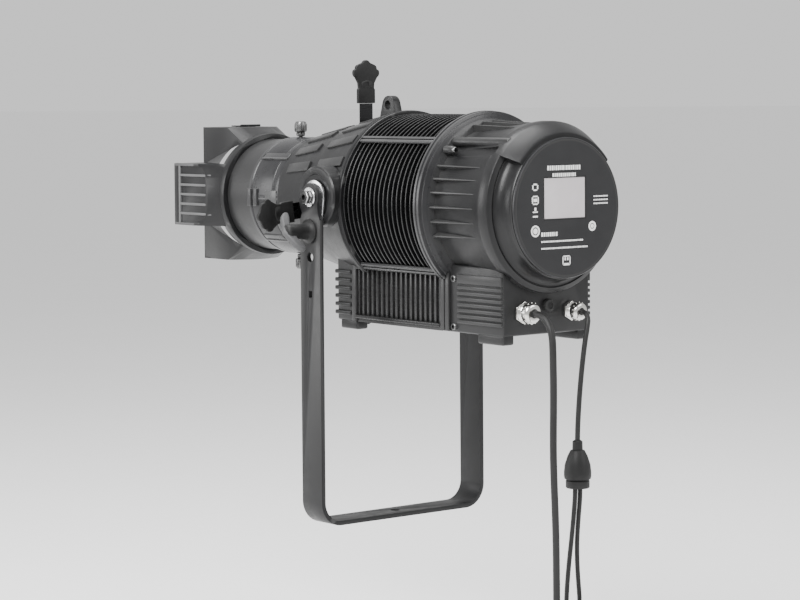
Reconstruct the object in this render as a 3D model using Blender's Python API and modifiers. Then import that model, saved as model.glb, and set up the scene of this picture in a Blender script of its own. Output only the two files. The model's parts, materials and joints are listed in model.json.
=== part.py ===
"""LED profile spot on a strap yoke, modelled as separate named pieces.

Metres, +Z up. The origin is the centre of the yoke's underside, where its clamp bolt goes.
The beam leaves towards -Y, the display looks towards +Y, and the tilt axis runs along X.
"""
import math

import bmesh
import bpy
from mathutils import Matrix, Vector

# ---- driving dimensions -------------------------------------------------
GAP = 0.0003               # between two pieces that touch
BORE_PLAY = 0.0005         # radial play of a shank in its hole

PIVOT_Z = 0.434            # tilt axis above the yoke's underside
AXIS_DROP = 0.008          # optical axis below the tilt axis
AXIS_Z = PIVOT_Z - AXIS_DROP

YOKE_HALF = 0.139          # outer face of a leg from the middle
STRAP_T = 0.006
STRAP_W = 0.043
YOKE_CORNER_R = 0.032      # outside radius of the strap's bends
EYE_R = 0.018              # round end of a leg
NECK_DROP = 0.030          # where the leg reaches its full width, below the pivot
CLAMP_HOLE_R = 0.0065
LEG_HOLE_R = 0.0065
LEG_HOLE_DROP = 0.079
LEG_SLOT_DROP = 0.128
LEG_SLOT_W = 0.007
LEG_SLOT_H = 0.009

BOSS_R = 0.040
PLATE_T = 0.0034           # clamp plate between a leg and its boss
BOLT_R = 0.005
BOLT_HEAD_R = 0.0085
BOLT_FLANGE_R = 0.0125
BOLT_HEAD_H = 0.010
BOLT_REACH = 0.016         # how far the bolt goes into its boss

LOCK_DROP = 0.045          # lock handle below the tilt axis
LOCK_HUB_R = 0.011
LOCK_FLANGE_R = 0.016
LOCK_HUB_L = 0.040
LOCK_BAR_HALF = 0.030
LOCK_BAR_R = 0.0048
LOCK_STUD_R = 0.004
LOCK_LEAN = math.radians(42)

FIN_FRONT = 0.0415         # front face of the fin stack
FIN_COUNT = 17
FIN_PITCH = 0.0092
FIN_T = 0.0018
FIN_R = 0.1155
FIN_CORE_R = 0.100
FIN_BORE_R = 0.072
RING_R = 0.1200
RING_DEPTH = 0.0180
RING_BORE_R = 0.080
BAR_T = 0.0034
BAR_W = 0.010

FLANGE_DEPTH = 0.011
CONE_FRONT = -0.150        # front end of the front housing
CONE_R = 0.084             # its radius there
NOSE_DEPTH = 0.006         # straight nose ahead of the cone
CONE_REAR_R = 0.1165
WALL = 0.004

GATE_Y = -0.0555           # mid plane of the shutters
GATE_SLIT = 0.0062
GATE_SLIT_W = 0.052
GATE_PLATE_T = 0.003
GATE_HOLE_R = 0.036
BLADE_T = 0.0012
BLADE_W = 0.060
BLADE_IN = 0.034           # inner edge of an undriven blade from the axis
BLADE_OUT = 0.080
STEM_W = 0.022
STEM_OUT = 0.1290
GRIP_OUT = 0.188
GRIP_T = 0.005
GRIP_W = 0.030
CROWN_W = 0.044
# how far each shutter is pushed in at rest, and how far it is skewed
SHUTTERS = {"top": (90, 0.0, 0), "bottom": (-90, 0.016, 0), "left": (0, 0.003, -6), "right": (180, 0.0, 0)}

LUG_Y = -0.0015
LUG_TOP = 0.1395
LUG_HALF = 0.018
LUG_EYE_R = 0.0125
LUG_HOLE_R = 0.0062
LUG_T = 0.013

BOX_HALF = 0.072           # half-width of the lower box
BOX_TOP = -0.084           # top of its sides, from the optical axis
BOX_BOTTOM = -0.159
BOX_WALL = 0.004
FRONT_BOX_Y = (-0.030, 0.0145)
REAR_BOX_Y = (0.1900, 0.3090)
FOOT_DROP = 0.011
FOOT_W = 0.018
FOOT_L = 0.050
FOOT_INSET = 0.001
PANEL_T = 0.004
PANEL_GROOVES = 17
RAIL_OUT = 0.0045
RAIL_H = 0.0045
RIB_COUNT = 6
RIB_PROUD = 0.003
RIB_H = 0.0034

SHOULDER_Y = 0.3195
SHOULDER_R = 0.1075
NECK_R = 0.099             # rear housing at the ring
DRUM_R = 0.0885
DISC_R = 0.0875
DISC_T = 0.0042
DISC_REAR = 0.3485
HOOD_SPREAD = math.radians(104)
SCREEN_W = 0.070
SCREEN_H = 0.0525
SCREEN_Z = 0.0125
SCREEN_X = 0.004
SCREEN_DEPTH = 0.012
BOARD_R = 0.066
BOARD_T = 0.002

SPREADER_R = 0.088
SPREADER_T = 0.008
LED_T = 0.002
TUBE_R = 0.045             # light tube between the LED and the gate
LIGHT_WALL = 0.003
LENS_EDGE = 0.005
LENS_RIM = 0.006
BARREL_R = 0.082
BARREL_WALL = 0.003
BARREL_FRONT = -0.222
TUBE_PLAY = 0.0005
TUBE_WALL = 0.0042
TUBE_FRONT = -0.284
TUBE_REAR = -0.162
KNOB_Y = -0.208
KNOB_R = 0.0085
KNOB_H = 0.015
COLLAR_R = 0.0062
COLLAR_H = 0.006
STUD_R = 0.003
FOCUS_OUT = 0.006          # focus travel forwards
FOCUS_IN = 0.038           # and backwards

HOLDER_FRONT = -0.387
HOLDER_REAR = -0.276
HOLDER_ARM = 0.044         # half-width of an arm
HOLDER_REACH = 0.095       # arm tip from the axis
HOLDER_WALL = 0.003
HOLDER_RING_R = 0.086
HOLDER_COLLAR = 0.012      # length of the ring that grips the lens tube
FLARE_Y = -0.335           # where an arm reaches its full height
FRAME_SLOT_Y = -0.3755
FRAME_SLOT_T = 0.006
VENT_ROWS = 6
VENT_PITCH = 0.0118
VENT_H = 0.0078

# each gland's place from the optical axis, its radius and its cord's radius
GLANDS = {"power": (0.041, -0.130, 0.0145, 0.0045), "signal": (-0.038, -0.132, 0.0125, 0.0033)}
GLAND_BODY_L = 0.012
GLAND_NUT_L = 0.011
GLAND_HEX_L = 0.004
VENT_R = 0.008
VENT_L = 0.007
VENT_Z = -0.123

# cord routes, x y z in metres; they stay as chosen
POWER_ROUTE = [
    (0.0410, 0.3335, 0.2960), (0.0410, 0.3444, 0.2941), (0.0411, 0.3541, 0.2885), (0.0412, 0.3612, 0.2800),
    (0.0413, 0.3650, 0.2690), (0.0413, 0.3662, 0.2550), (0.0410, 0.3664, 0.2350), (0.0406, 0.3664, 0.2100),
    (0.0408, 0.3664, 0.1800), (0.0413, 0.3664, 0.1500), (0.0413, 0.3664, 0.1200), (0.0402, 0.3664, 0.0850),
    (0.0387, 0.3664, 0.0500), (0.0377, 0.3664, 0.0150), (0.0373, 0.3664, -0.0200), (0.0372, 0.3664, -0.0550),
    (0.0372, 0.3664, -0.0900),
]
SIGNAL_ROUTE = [
    (-0.0380, 0.3335, 0.2940), (-0.0376, 0.3394, 0.2927), (-0.0365, 0.3442, 0.2890), (-0.0350, 0.3470,
            0.2836),
    (-0.0328, 0.3479, 0.2750), (-0.0290, 0.3480, 0.2580), (-0.0250, 0.3480, 0.2350), (-0.0212, 0.3480,
            0.2080),
    (-0.0182, 0.3480, 0.1800), (-0.0162, 0.3480, 0.1540), (-0.0155, 0.3480, 0.1360),
]
BRANCH_ROUTES = {
    "in": [(-0.0113, 0.3480, 0.0757), (-0.0104, 0.3480, 0.0600), (-0.0074, 0.3482, 0.0350),
           (-0.0038, 0.3485, 0.0100),
           (0.0002, 0.3488, -0.0150), (0.0034, 0.3490, -0.0400), (0.0050, 0.3490, -0.0600), (0.0054, 0.3490,
                   -0.0800)],
    "out": [(-0.0197, 0.3480, 0.0757), (-0.0190, 0.3480, 0.0600), (-0.0164, 0.3478, 0.0350),
            (-0.0146, 0.3475, 0.0100),
            (-0.0148, 0.3472, -0.0150), (-0.0166, 0.3470, -0.0400), (-0.0184, 0.3470, -0.0600),
            (-0.0188, 0.3470, -0.0800)],
}
POWER_CORD_D = 0.009
SIGNAL_CORD_D = 0.0066
BRANCH_CORD_D = 0.0060
COIL_R = 0.052             # middle of the turns
COIL_TURNS = 3
SPLIT_TOP = 0.1357
SPLIT_L = 0.0597
CONNECTOR_L = 0.062
CONNECTOR_R = 0.0105
PLUG_L = 0.070
PLUG_R = 0.016
PLUG_BOOT_R = 0.006

SEG = 28
FIN_SEG = 20
SMALL_SEG = 12

# ---- scene and helpers --------------------------------------------------
for old in list(bpy.data.objects):
    bpy.data.objects.remove(old, do_unlink=True)

parts = bpy.data.collections.new("profile_spot")
cutters = bpy.data.collections.new("cutters")
bpy.context.scene.collection.children.link(parts)
bpy.context.scene.collection.children.link(cutters)

FINISHES = {
    "cast_black": ((0.030, 0.030, 0.032), 0.45, 0.3),
    "fin_black": ((0.012, 0.012, 0.013), 0.40, 0.5),
    "strap_black": ((0.022, 0.022, 0.023), 0.55, 0.4),
    "steel": ((0.62, 0.62, 0.64), 0.25, 1.0),
    "panel_black": ((0.020, 0.020, 0.021), 0.35, 0.0),
    "screen_grey": ((0.50, 0.47, 0.50), 0.15, 0.0),
    "board_green": ((0.02, 0.12, 0.05), 0.50, 0.0),
    "lens_glass": ((0.85, 0.88, 0.90), 0.02, 0.0),
    "plastic_black": ((0.018, 0.018, 0.018), 0.50, 0.0),
    "cord_black": ((0.025, 0.025, 0.025), 0.60, 0.0),
}
made = {}


def finish(name):
    """A Principled material of the named finish, for one piece."""
    colour, rough, metal = FINISHES[name]
    material = bpy.data.materials.new(name)
    material.use_nodes = True
    shader = material.node_tree.nodes["Principled BSDF"]
    shader.inputs["Base Color"].default_value = (*colour, 1)
    shader.inputs["Roughness"].default_value = rough
    shader.inputs["Metallic"].default_value = metal
    return material


def joint_empty(name, place, parent=None):
    """An empty that stands on a joint's axis."""
    empty = bpy.data.objects.new(name, None)
    parts.objects.link(empty)
    empty.location = place
    if parent:
        empty.parent = parent
        empty.matrix_parent_inverse = Matrix.Translation(-made[parent.name])
    made[name] = Vector(place)
    return empty


def keep(obj, parent, finish_name):
    """Put a finished piece in the model, under its joint's empty."""
    obj.data.materials.clear()
    obj.data.materials.append(finish(finish_name))
    if parent:
        obj.parent = parent
        obj.matrix_parent_inverse = Matrix.Translation(-made[parent.name])
    return obj


def as_tool(obj):
    """Make an object a cutter: unseen, in the cutters' collection."""
    obj.hide_render = True
    obj.display_type = "WIRE"
    parts.objects.unlink(obj)
    cutters.objects.link(obj)
    return obj


def combine(obj, tool, operation="DIFFERENCE"):
    """Boolean with a tool that the build leaves out."""
    if tool.name not in cutters.objects:
        as_tool(tool)
    step = obj.modifiers.new(operation.lower(), "BOOLEAN")
    step.operation = operation
    step.solver = "EXACT"
    step.object = tool
    return obj


def shift(obj, by):
    """Move a piece together with the tools that shape it."""
    obj.location += by
    for step in obj.modifiers:
        if step.type == "BOOLEAN":
            for tool in [step.object] if step.object else step.collection.objects:
                shift(tool, by)


def apply_all(obj, tools, operation="DIFFERENCE"):
    """One boolean with several tools at once."""
    group = bpy.data.collections.new(f"{obj.name}_{operation.lower()}")
    cutters.children.link(group)
    for tool in tools:
        as_tool(tool)
        group.objects.link(tool)
    step = obj.modifiers.new(operation.lower(), "BOOLEAN")
    step.operation = operation
    step.solver = "EXACT"
    step.operand_type = "COLLECTION"
    step.collection = group


def mesh_object(name, bm):
    mesh = bpy.data.meshes.new(name)
    bm.to_mesh(mesh)
    bm.free()
    obj = bpy.data.objects.new(name, mesh)
    parts.objects.link(obj)
    return obj


def smooth(mesh):
    mesh.shade_smooth()
    mesh.set_sharp_from_angle(angle=math.radians(35))


def boxes(name, ranges):
    """One object of separate boxes, each ((x0, x1), (y0, y1), (z0, z1))."""
    bm = bmesh.new()
    for x, y, z in ranges:
        size = Matrix.Diagonal((x[1] - x[0], y[1] - y[0], z[1] - z[0], 1))
        middle = Vector(((x[0] + x[1]) / 2, (y[0] + y[1]) / 2, (z[0] + z[1]) / 2))
        bmesh.ops.create_cube(bm, size=1, matrix=Matrix.Translation(middle) @ size)
    return mesh_object(name, bm)


def box(name, x, y, z):
    return boxes(name, [(x, y, z)])


TURN = {
    "Y": Matrix.Rotation(-math.pi / 2, 4, "X"),
    "X": Matrix.Rotation(math.pi / 2, 4, "Y"),
    "-X": Matrix.Rotation(-math.pi / 2, 4, "Y"),
    "Z": Matrix.Identity(4),
    "-Z": Matrix.Rotation(math.pi, 4, "X"),
}


def turned(name, profile, axis="Y", place=(0, 0, 0), segments=SEG, closed=False):
    """Turn a profile of (radius, height) about an axis; it runs down its outer side."""
    bm = bmesh.new()
    points = [bm.verts.new((r, 0, h)) for r, h in profile]
    for a, b in zip(points, points[1:]):
        bm.edges.new((a, b))
    if closed:
        bm.edges.new((points[-1], points[0]))
    obj = mesh_object(name, bm)
    screw = obj.modifiers.new("turn", "SCREW")
    screw.steps = segments
    screw.render_steps = segments
    screw.use_merge_vertices = True
    screw.merge_threshold = 0.00002
    obj.matrix_world = Matrix.Translation(place) @ TURN[axis]
    return obj


def disc(name, r, low, high, axis="Y", place=(0, 0, 0), segments=SEG):
    return turned(name, [(0, high), (r, high), (r, low), (0, low)], axis, place, segments)


def ring(name, r_out, r_in, low, high, axis="Y", place=(0, 0, 0), segments=SEG):
    loop = [(r_out, high), (r_out, low), (r_in, low), (r_in, high)]
    return turned(name, loop, axis, place, segments, closed=True)


def plate(name, outlines, thickness, matrix):
    """A flat outline, with holes, thickened about its own plane."""
    curve = bpy.data.curves.new(name, "CURVE")
    curve.dimensions = "2D"
    curve.fill_mode = "BOTH"
    curve.extrude = thickness / 2
    for outline in outlines:
        spline = curve.splines.new("POLY")
        spline.points.add(len(outline) - 1)
        for point, (u, v) in zip(spline.points, outline):
            point.co = (u, v, 0, 1)
        spline.use_cyclic_u = True
    flat = bpy.data.objects.new(name + "_outline", curve)
    parts.objects.link(flat)
    flat.matrix_world = matrix
    bpy.context.view_layer.update()
    solid = flat.evaluated_get(bpy.context.evaluated_depsgraph_get())
    mesh = bpy.data.meshes.new_from_object(solid)
    bm = bmesh.new()
    bm.from_mesh(mesh)
    bmesh.ops.remove_doubles(bm, verts=bm.verts, dist=0.00001)
    bm.to_mesh(mesh)
    bm.free()
    obj = bpy.data.objects.new(name, mesh)
    parts.objects.link(obj)
    obj.matrix_world = matrix
    bpy.data.objects.remove(flat, do_unlink=True)
    return obj


def facing(axis, place):
    """A plane for a plate: its outline's u and v lie along two world axes."""
    rows = {
        "X": ((0, 0, 1), (1, 0, 0), (0, 1, 0)),     # u along Y, v along Z
        "Y": ((1, 0, 0), (0, 0, -1), (0, 1, 0)),    # u along X, v along Z
        "Z": ((1, 0, 0), (0, 1, 0), (0, 0, 1)),     # u along X, v along Y
    }[axis]
    turn = Matrix([(*row, 0) for row in rows] + [(0, 0, 0, 1)])
    return Matrix.Translation(place) @ turn


def arc(cu, cv, r, start, stop, steps):
    """Points of an arc, in degrees."""
    found = []
    for i in range(steps + 1):
        a = math.radians(start + (stop - start) * i / steps)
        found.append((cu + r * math.cos(a), cv + r * math.sin(a)))
    return found


def smooth_route(points, spacing):
    """Points about a spacing apart on a smooth curve through a route."""
    p = [Vector(q) for q in points]
    p = [2 * p[0] - p[1]] + p + [2 * p[-1] - p[-2]]
    found = []
    for a, b, c, d in zip(p, p[1:], p[2:], p[3:]):
        count = max(1, round((c - b).length / spacing))
        for i in range(count):
            t = i / count
            found.append(0.5 * (2 * b + (c - a) * t + (2 * a - 5 * b + 4 * c - d) * t**2
                                + (3 * b - a - 3 * c + d) * t**3))
    return found + [p[-2]]


def cord(name, route, diameter):
    """A plain round cord along its route."""
    points = smooth_route(route, 2.5 * diameter)
    curve = bpy.data.curves.new(name, "CURVE")
    curve.dimensions = "3D"
    curve.bevel_depth = diameter / 2
    curve.bevel_resolution = 2
    curve.use_fill_caps = True
    spline = curve.splines.new("POLY")
    spline.points.add(len(points) - 1)
    for point, place in zip(spline.points, points):
        point.co = (*place, 1)
    obj = bpy.data.objects.new(name, curve)
    parts.objects.link(obj)
    return keep(obj, None, "cord_black")


def on_axis(x=0, y=0, z=0):
    """A place given from the optical axis."""
    return (x, y, AXIS_Z + z)


def above(low, high):
    """A height range given from the optical axis."""
    return (AXIS_Z + low, AXIS_Z + high)


# ---- joint empties ------------------------------------------------------
head = joint_empty("head_pivot", (0, 0, PIVOT_Z))
focus = joint_empty("focus_slide", on_axis(y=TUBE_REAR), head)

# ---- yoke ---------------------------------------------------------------
LEG_IN = YOKE_HALF - STRAP_T
PLATE_OUT = LEG_IN - GAP
BOSS_FACE = PLATE_OUT - PLATE_T - GAP
SIDES = {"left": 1, "right": -1}


def yoke_strap():
    """A bent strap with a round eye at the top of each leg."""
    top = PIVOT_Z - NECK_DROP
    inner_r = YOKE_CORNER_R - STRAP_T
    outer = arc(YOKE_HALF - YOKE_CORNER_R, YOKE_CORNER_R, YOKE_CORNER_R, -90, 0, 6)
    inner = arc(YOKE_HALF - YOKE_CORNER_R, YOKE_CORNER_R, inner_r, 0, -90, 6)
    right_half = outer + [(YOKE_HALF, top), (LEG_IN, top)] + inner
    left_half = [(-x, z) for x, z in reversed(right_half)]
    strap = plate("yoke_strap", [right_half + left_half], STRAP_W, facing("Y", (0, 0, 0)))
    half = STRAP_W / 2
    reach = NECK_DROP + 0.002
    for side in SIDES.values():
        end = arc(0, 0, EYE_R, -25, 205, 14) + [(-half, -NECK_DROP * 0.86), (-half, -reach), (half, -reach),
                                                (half, -NECK_DROP * 0.86)]
        middle = side * (YOKE_HALF - STRAP_T / 2)
        eye = plate(f"eye_{side}", [end], STRAP_T, facing("X", (middle, 0, PIVOT_Z)))
        combine(strap, eye, "UNION")
    across = 2 * YOKE_HALF + 0.02
    combine(strap, disc("pivot_holes", BOLT_R + BORE_PLAY, -across / 2, across / 2, "X", (0, 0, PIVOT_Z),
                        SMALL_SEG))
    combine(strap, disc("stud_holes", LOCK_STUD_R + BORE_PLAY, -across / 2, across / 2, "X",
                        (0, 0, PIVOT_Z - LOCK_DROP), SMALL_SEG))
    combine(strap, disc("leg_holes", LEG_HOLE_R, -across / 2, across / 2, "X",
                        (0, 0, PIVOT_Z - LEG_HOLE_DROP), SMALL_SEG))
    slot_z = PIVOT_Z - LEG_SLOT_DROP
    combine(strap, box("leg_slots", (-across / 2, across / 2), (-LEG_SLOT_W / 2, LEG_SLOT_W / 2),
                       (slot_z - LEG_SLOT_H / 2, slot_z + LEG_SLOT_H / 2)))
    combine(strap, disc("clamp_hole", CLAMP_HOLE_R, -0.01, 0.02, "Z", (0, 0, 0), SMALL_SEG))
    keep(strap, None, "strap_black")


def tangent_outline(r_top, r_low, drop, steps=8):
    """The hull of two round ends, one below the other."""
    lean = math.degrees(math.asin((r_top - r_low) / drop))
    return arc(0, 0, r_top, -lean, 180 + lean, steps * 2) + arc(0, -drop, r_low, 180 + lean, 360 - lean,
            steps)


def pivots():
    """Bolts, clamp plates and lock handles of both legs."""
    for word, side in SIDES.items():
        axis = "X" if side > 0 else "-X"
        head_in = YOKE_HALF + GAP
        flange = head_in + 0.002
        bolt = turned(f"pivot_bolt_{word}", [
            (0, flange + BOLT_HEAD_H * 0.5), (BOLT_R * 0.8, flange + BOLT_HEAD_H * 0.5),
            (BOLT_R * 0.8, flange + BOLT_HEAD_H), (BOLT_HEAD_R, flange + BOLT_HEAD_H), (BOLT_HEAD_R, flange),
            (BOLT_FLANGE_R, flange), (BOLT_FLANGE_R, head_in), (BOLT_R, head_in),
            (BOLT_R, BOSS_FACE - BOLT_REACH), (0, BOSS_FACE - BOLT_REACH)], axis, (0, 0, PIVOT_Z), SMALL_SEG)
        keep(bolt, None, "steel")
        middle = side * (PLATE_OUT - PLATE_T / 2)
        hole = arc(0, 0, BOLT_R + BORE_PLAY, 0, 337.5, 15)
        clamp = plate(f"clamp_plate_{word}", [tangent_outline(0.022, LOCK_FLANGE_R - 0.002, LOCK_DROP), hole],
                      PLATE_T, facing("X", (middle, 0, PIVOT_Z)))
        keep(clamp, None, "steel")
        lock_handle(word, side, axis)


def lock_handle(word, side, axis):
    """A hub on a stud, with a bar across its outer end."""
    pivot = (0, 0, PIVOT_Z - LOCK_DROP)
    turn = joint_empty(f"lock_pivot_{word}", (side * YOKE_HALF, 0, PIVOT_Z - LOCK_DROP))
    seat = YOKE_HALF + GAP
    end = seat + LOCK_HUB_L
    hub = turned(f"lock_handle_{word}", [
        (0, end), (LOCK_HUB_R * 0.8, end), (LOCK_HUB_R, end - 0.004), (LOCK_HUB_R, seat + 0.008),
        (LOCK_FLANGE_R, seat + 0.003), (LOCK_FLANGE_R, seat), (LOCK_STUD_R, seat), (LOCK_STUD_R,
                LEG_IN + GAP),
        (0, LEG_IN + GAP)], axis, pivot, SMALL_SEG)
    bar_place = Matrix.Translation((side * (end - 0.012), 0, PIVOT_Z - LOCK_DROP))
    lean = Matrix.Rotation(LOCK_LEAN, 4, "X")
    bar = turned(f"lock_bar_{word}", [
        (0, LOCK_BAR_HALF), (LOCK_BAR_R * 0.7, LOCK_BAR_HALF - 0.001), (LOCK_BAR_R * 1.2,
                LOCK_BAR_HALF - 0.006),
        (LOCK_BAR_R, 0.012), (LOCK_BAR_R, -0.012), (LOCK_BAR_R * 1.2, 0.006 - LOCK_BAR_HALF),
        (LOCK_BAR_R * 0.7, 0.001 - LOCK_BAR_HALF), (0, -LOCK_BAR_HALF)], "Z", segments=12)
    bar.matrix_world = bar_place @ lean
    combine(hub, bar, "UNION")
    keep(hub, turn, "plastic_black")


# ---- heat sink ----------------------------------------------------------
FIN_REAR = FIN_FRONT + (FIN_COUNT - 1) * FIN_PITCH + FIN_T
RING_FRONT = FIN_REAR + GAP
RING_REAR = RING_FRONT + RING_DEPTH


def box_room(name, low, high):
    """The flat that the lower box takes out of the round pieces above it."""
    wide = BOX_HALF + RAIL_OUT + GAP
    return box(name, (-wide, wide), (low, high), above(BOX_BOTTOM - 0.02, BOX_TOP + GAP))


def heat_sink():
    """Round fins on a core, a ring behind them and bars across their tips."""
    profile = []
    for i in reversed(range(FIN_COUNT)):
        low = FIN_FRONT + i * FIN_PITCH
        profile += [(FIN_CORE_R, low + FIN_T)] if i < FIN_COUNT - 1 else []
        profile += [(FIN_R, low + FIN_T), (FIN_R, low)]
        profile += [(FIN_CORE_R, low)] if i else []
    profile += [(FIN_BORE_R, FIN_FRONT), (FIN_BORE_R, FIN_REAR)]
    stack = turned("fin_stack", profile, "Y", on_axis(), FIN_SEG, closed=True)
    combine(stack, box_room("stack_flat", FIN_FRONT - 0.01, FIN_REAR + 0.01))
    keep(stack, head, "fin_black")
    step = RING_DEPTH / 3
    rear_ring = turned("rear_ring", [
        (RING_BORE_R, RING_REAR), (RING_R - 0.009, RING_REAR), (RING_R - 0.004, RING_REAR - step),
        (RING_R, RING_REAR - step), (RING_R, RING_FRONT), (RING_BORE_R, RING_FRONT)],
        "Y", on_axis(), SEG, closed=True)
    combine(rear_ring, box_room("ring_flat", RING_FRONT - 0.01, RING_REAR + 0.01))
    keep(rear_ring, head, "cast_black")
    for i in range(4):
        low = FIN_R + GAP
        bar = box(f"tie_bar_{i + 1}", (-BAR_W / 2, BAR_W / 2), (FIN_FRONT, FIN_REAR), (low, low + BAR_T))
        bar.matrix_world = Matrix.Translation(on_axis()) @ Matrix.Rotation(math.radians(45 + 90 * i), 4, "Y")
        if i in (1, 2):                                 # the lower two make way for the box
            combine(bar, box_room(f"bar_flat_{i + 1}", FIN_FRONT - 0.01, FIN_REAR + 0.01))
        keep(bar, head, "cast_black")


# ---- front housing ------------------------------------------------------
FLANGE_REAR = FIN_FRONT - GAP
FLANGE_FRONT = FLANGE_REAR - FLANGE_DEPTH


def cone_radius(y):
    """Outside radius of the front housing's cone."""
    nose = CONE_FRONT + NOSE_DEPTH
    share = (y - nose) / (FLANGE_FRONT - nose)
    return CONE_R + (CONE_REAR_R - CONE_R) * share


def feet(name, y_low, y_high):
    """Two feet under a casting of the lower box."""
    rows = []
    for side in (-1, 1):
        x = side * (BOX_HALF - FOOT_INSET - FOOT_W / 2)
        rows.append(((x - FOOT_W / 2, x + FOOT_W / 2), (y_low, y_high),
                     above(BOX_BOTTOM - FOOT_DROP, BOX_BOTTOM + 0.003)))
    return boxes(name, rows)


def front_housing():
    """The cone with its pivot bosses, safety lug and the front of the lower box."""
    nose = CONE_FRONT + NOSE_DEPTH
    y_low, y_high = FRONT_BOX_Y
    shell = turned("front_housing", [
        (0, FLANGE_REAR), (RING_R, FLANGE_REAR), (RING_R, FLANGE_FRONT), (CONE_REAR_R, FLANGE_FRONT),
        (CONE_R, nose), (CONE_R, CONE_FRONT), (0, CONE_FRONT)], "Y", on_axis())
    combine(shell, disc("bosses", BOSS_R, -BOSS_FACE, BOSS_FACE, "X", (0, 0, PIVOT_Z)), "UNION")
    combine(shell, box("front_box", (-BOX_HALF, BOX_HALF), (y_low, y_high + 0.004),
                       above(BOX_BOTTOM, BOX_TOP)), "UNION")
    combine(shell, feet("front_feet", y_low + 0.006, y_high - FOOT_INSET), "UNION")
    combine(shell, boxes("front_ribs", rib_rows(y_low + 0.002, y_high - 0.014)), "UNION")
    lug_low = cone_radius(LUG_Y) - WALL / 2
    eye_z = LUG_TOP - LUG_EYE_R
    outline = [(-LUG_HALF, lug_low), (LUG_HALF, lug_low)] + arc(0, eye_z, LUG_EYE_R, 20, 160, 8)
    hole = arc(0, eye_z, LUG_HOLE_R, 0, 337.5, 15)
    combine(shell, plate("safety_lug", [outline, hole], LUG_T, facing("X", on_axis(y=LUG_Y))), "UNION")
    bore = turned("cone_bore", [
        (0, FLANGE_REAR + 0.01), (CONE_REAR_R - WALL, FLANGE_REAR + 0.01), (CONE_REAR_R - WALL, FLANGE_FRONT),
        (CONE_R - WALL, nose), (CONE_R - WALL, CONE_FRONT - 0.01), (0, CONE_FRONT - 0.01)], "Y", on_axis())
    inside = BOX_HALF - BOX_WALL
    cuts = [bore, box_room("flange_flat", y_high, FLANGE_REAR + 0.01)]
    cuts.append(box("front_box_bore", (-inside, inside), (y_low + BOX_WALL, y_high + 0.01),
                    above(BOX_BOTTOM + BOX_WALL, BOX_TOP - 0.034)))
    for word, side in SIDES.items():
        cuts.append(disc(f"bolt_bore_{word}", BOLT_R + BORE_PLAY, BOSS_FACE - BOLT_REACH - 0.001,
                         BOSS_FACE + 0.01,
                         "X" if side > 0 else "-X", (0, 0, PIVOT_Z), SMALL_SEG))
    half = GATE_SLIT / 2
    wide = GATE_SLIT_W / 2
    for turn, name in ((0, "right"), (90, "top"), (180, "left"), (270, "bottom")):
        tool = box(f"slit_{name}", (0.06, 0.14), (-half, half), (-wide, wide))
        tool.matrix_world = Matrix.Translation(on_axis(y=GATE_Y)) @ Matrix.Rotation(math.radians(turn), 4,
                "Y")
        cuts.append(tool)
    apply_all(shell, cuts)
    keep(shell, head, "cast_black")


def rib_rows(y_low, y_high):
    """Level ribs on both sides of the lower box."""
    rows = []
    pitch = (BOX_TOP - BOX_BOTTOM) / (RIB_COUNT + 0.5)
    for i in range(RIB_COUNT):
        z = BOX_BOTTOM + pitch * (i + 0.75)
        for side in (-1, 1):
            edge = sorted((side * (BOX_HALF - 0.001), side * (BOX_HALF + RIB_PROUD)))
            rows.append((edge, (y_low, y_high), above(z - RIB_H / 2, z + RIB_H / 2)))
    return rows


# ---- optics inside the front housing ------------------------------------
def bulge(r, depth, steps=3):
    """Points of a lens face from its edge to its middle."""
    return [(r * math.cos(a),
             depth * math.sin(a)) for a in (math.pi / 2 * i / steps for i in range(steps + 1))]


def lens(name, r, middle, front_depth, rear_depth, parent):
    """A lens with a flat rim of LENS_RIM; a side of no depth is flat."""
    crown_r = r - LENS_RIM
    rear_y, front_y = middle + LENS_EDGE / 2, middle - LENS_EDGE / 2
    rear = [(x, rear_y + d) for x, d in reversed(bulge(crown_r, rear_depth))] if rear_depth else [(0, rear_y)]
    front = [(x, front_y - d) for x, d in bulge(crown_r, front_depth)] if front_depth else [(0, front_y)]
    rear[0] = (0, rear[0][1])
    front[-1] = (0, front[-1][1])
    profile = rear + [(r, rear_y), (r, front_y)] + front
    keep(turned(name, profile, "Y", on_axis()), parent, "lens_glass")


def light_engine():
    """The LED on its spreader, the light tube with its condenser and the gate plate."""
    rear = FIN_FRONT - GAP
    keep(disc("heat_spreader", SPREADER_R, rear - SPREADER_T, rear, "Y", on_axis(), 24), head, "steel")
    led_rear = rear - SPREADER_T - GAP
    keep(disc("led_board", TUBE_R - LIGHT_WALL - GAP - 0.002, led_rear - LED_T, led_rear - GAP, "Y",
              on_axis()), head,
         "board_green")
    tube_front = GATE_Y + GATE_SLIT / 2
    keep(ring("light_tube", TUBE_R, TUBE_R - LIGHT_WALL, tube_front, led_rear, "Y", on_axis()), head, "steel")
    lens("condenser_lens", TUBE_R - LIGHT_WALL - GAP, 0.006, 0.010, 0, head)
    front_face = GATE_Y - GATE_SLIT / 2
    seat_r = cone_radius(front_face - GATE_PLATE_T) - WALL - GAP * 1.5
    keep(ring("gate_plate", seat_r, GATE_HOLE_R, front_face - GATE_PLATE_T + GAP, front_face + GAP, "Y",
              on_axis()), head,
         "steel")


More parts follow.
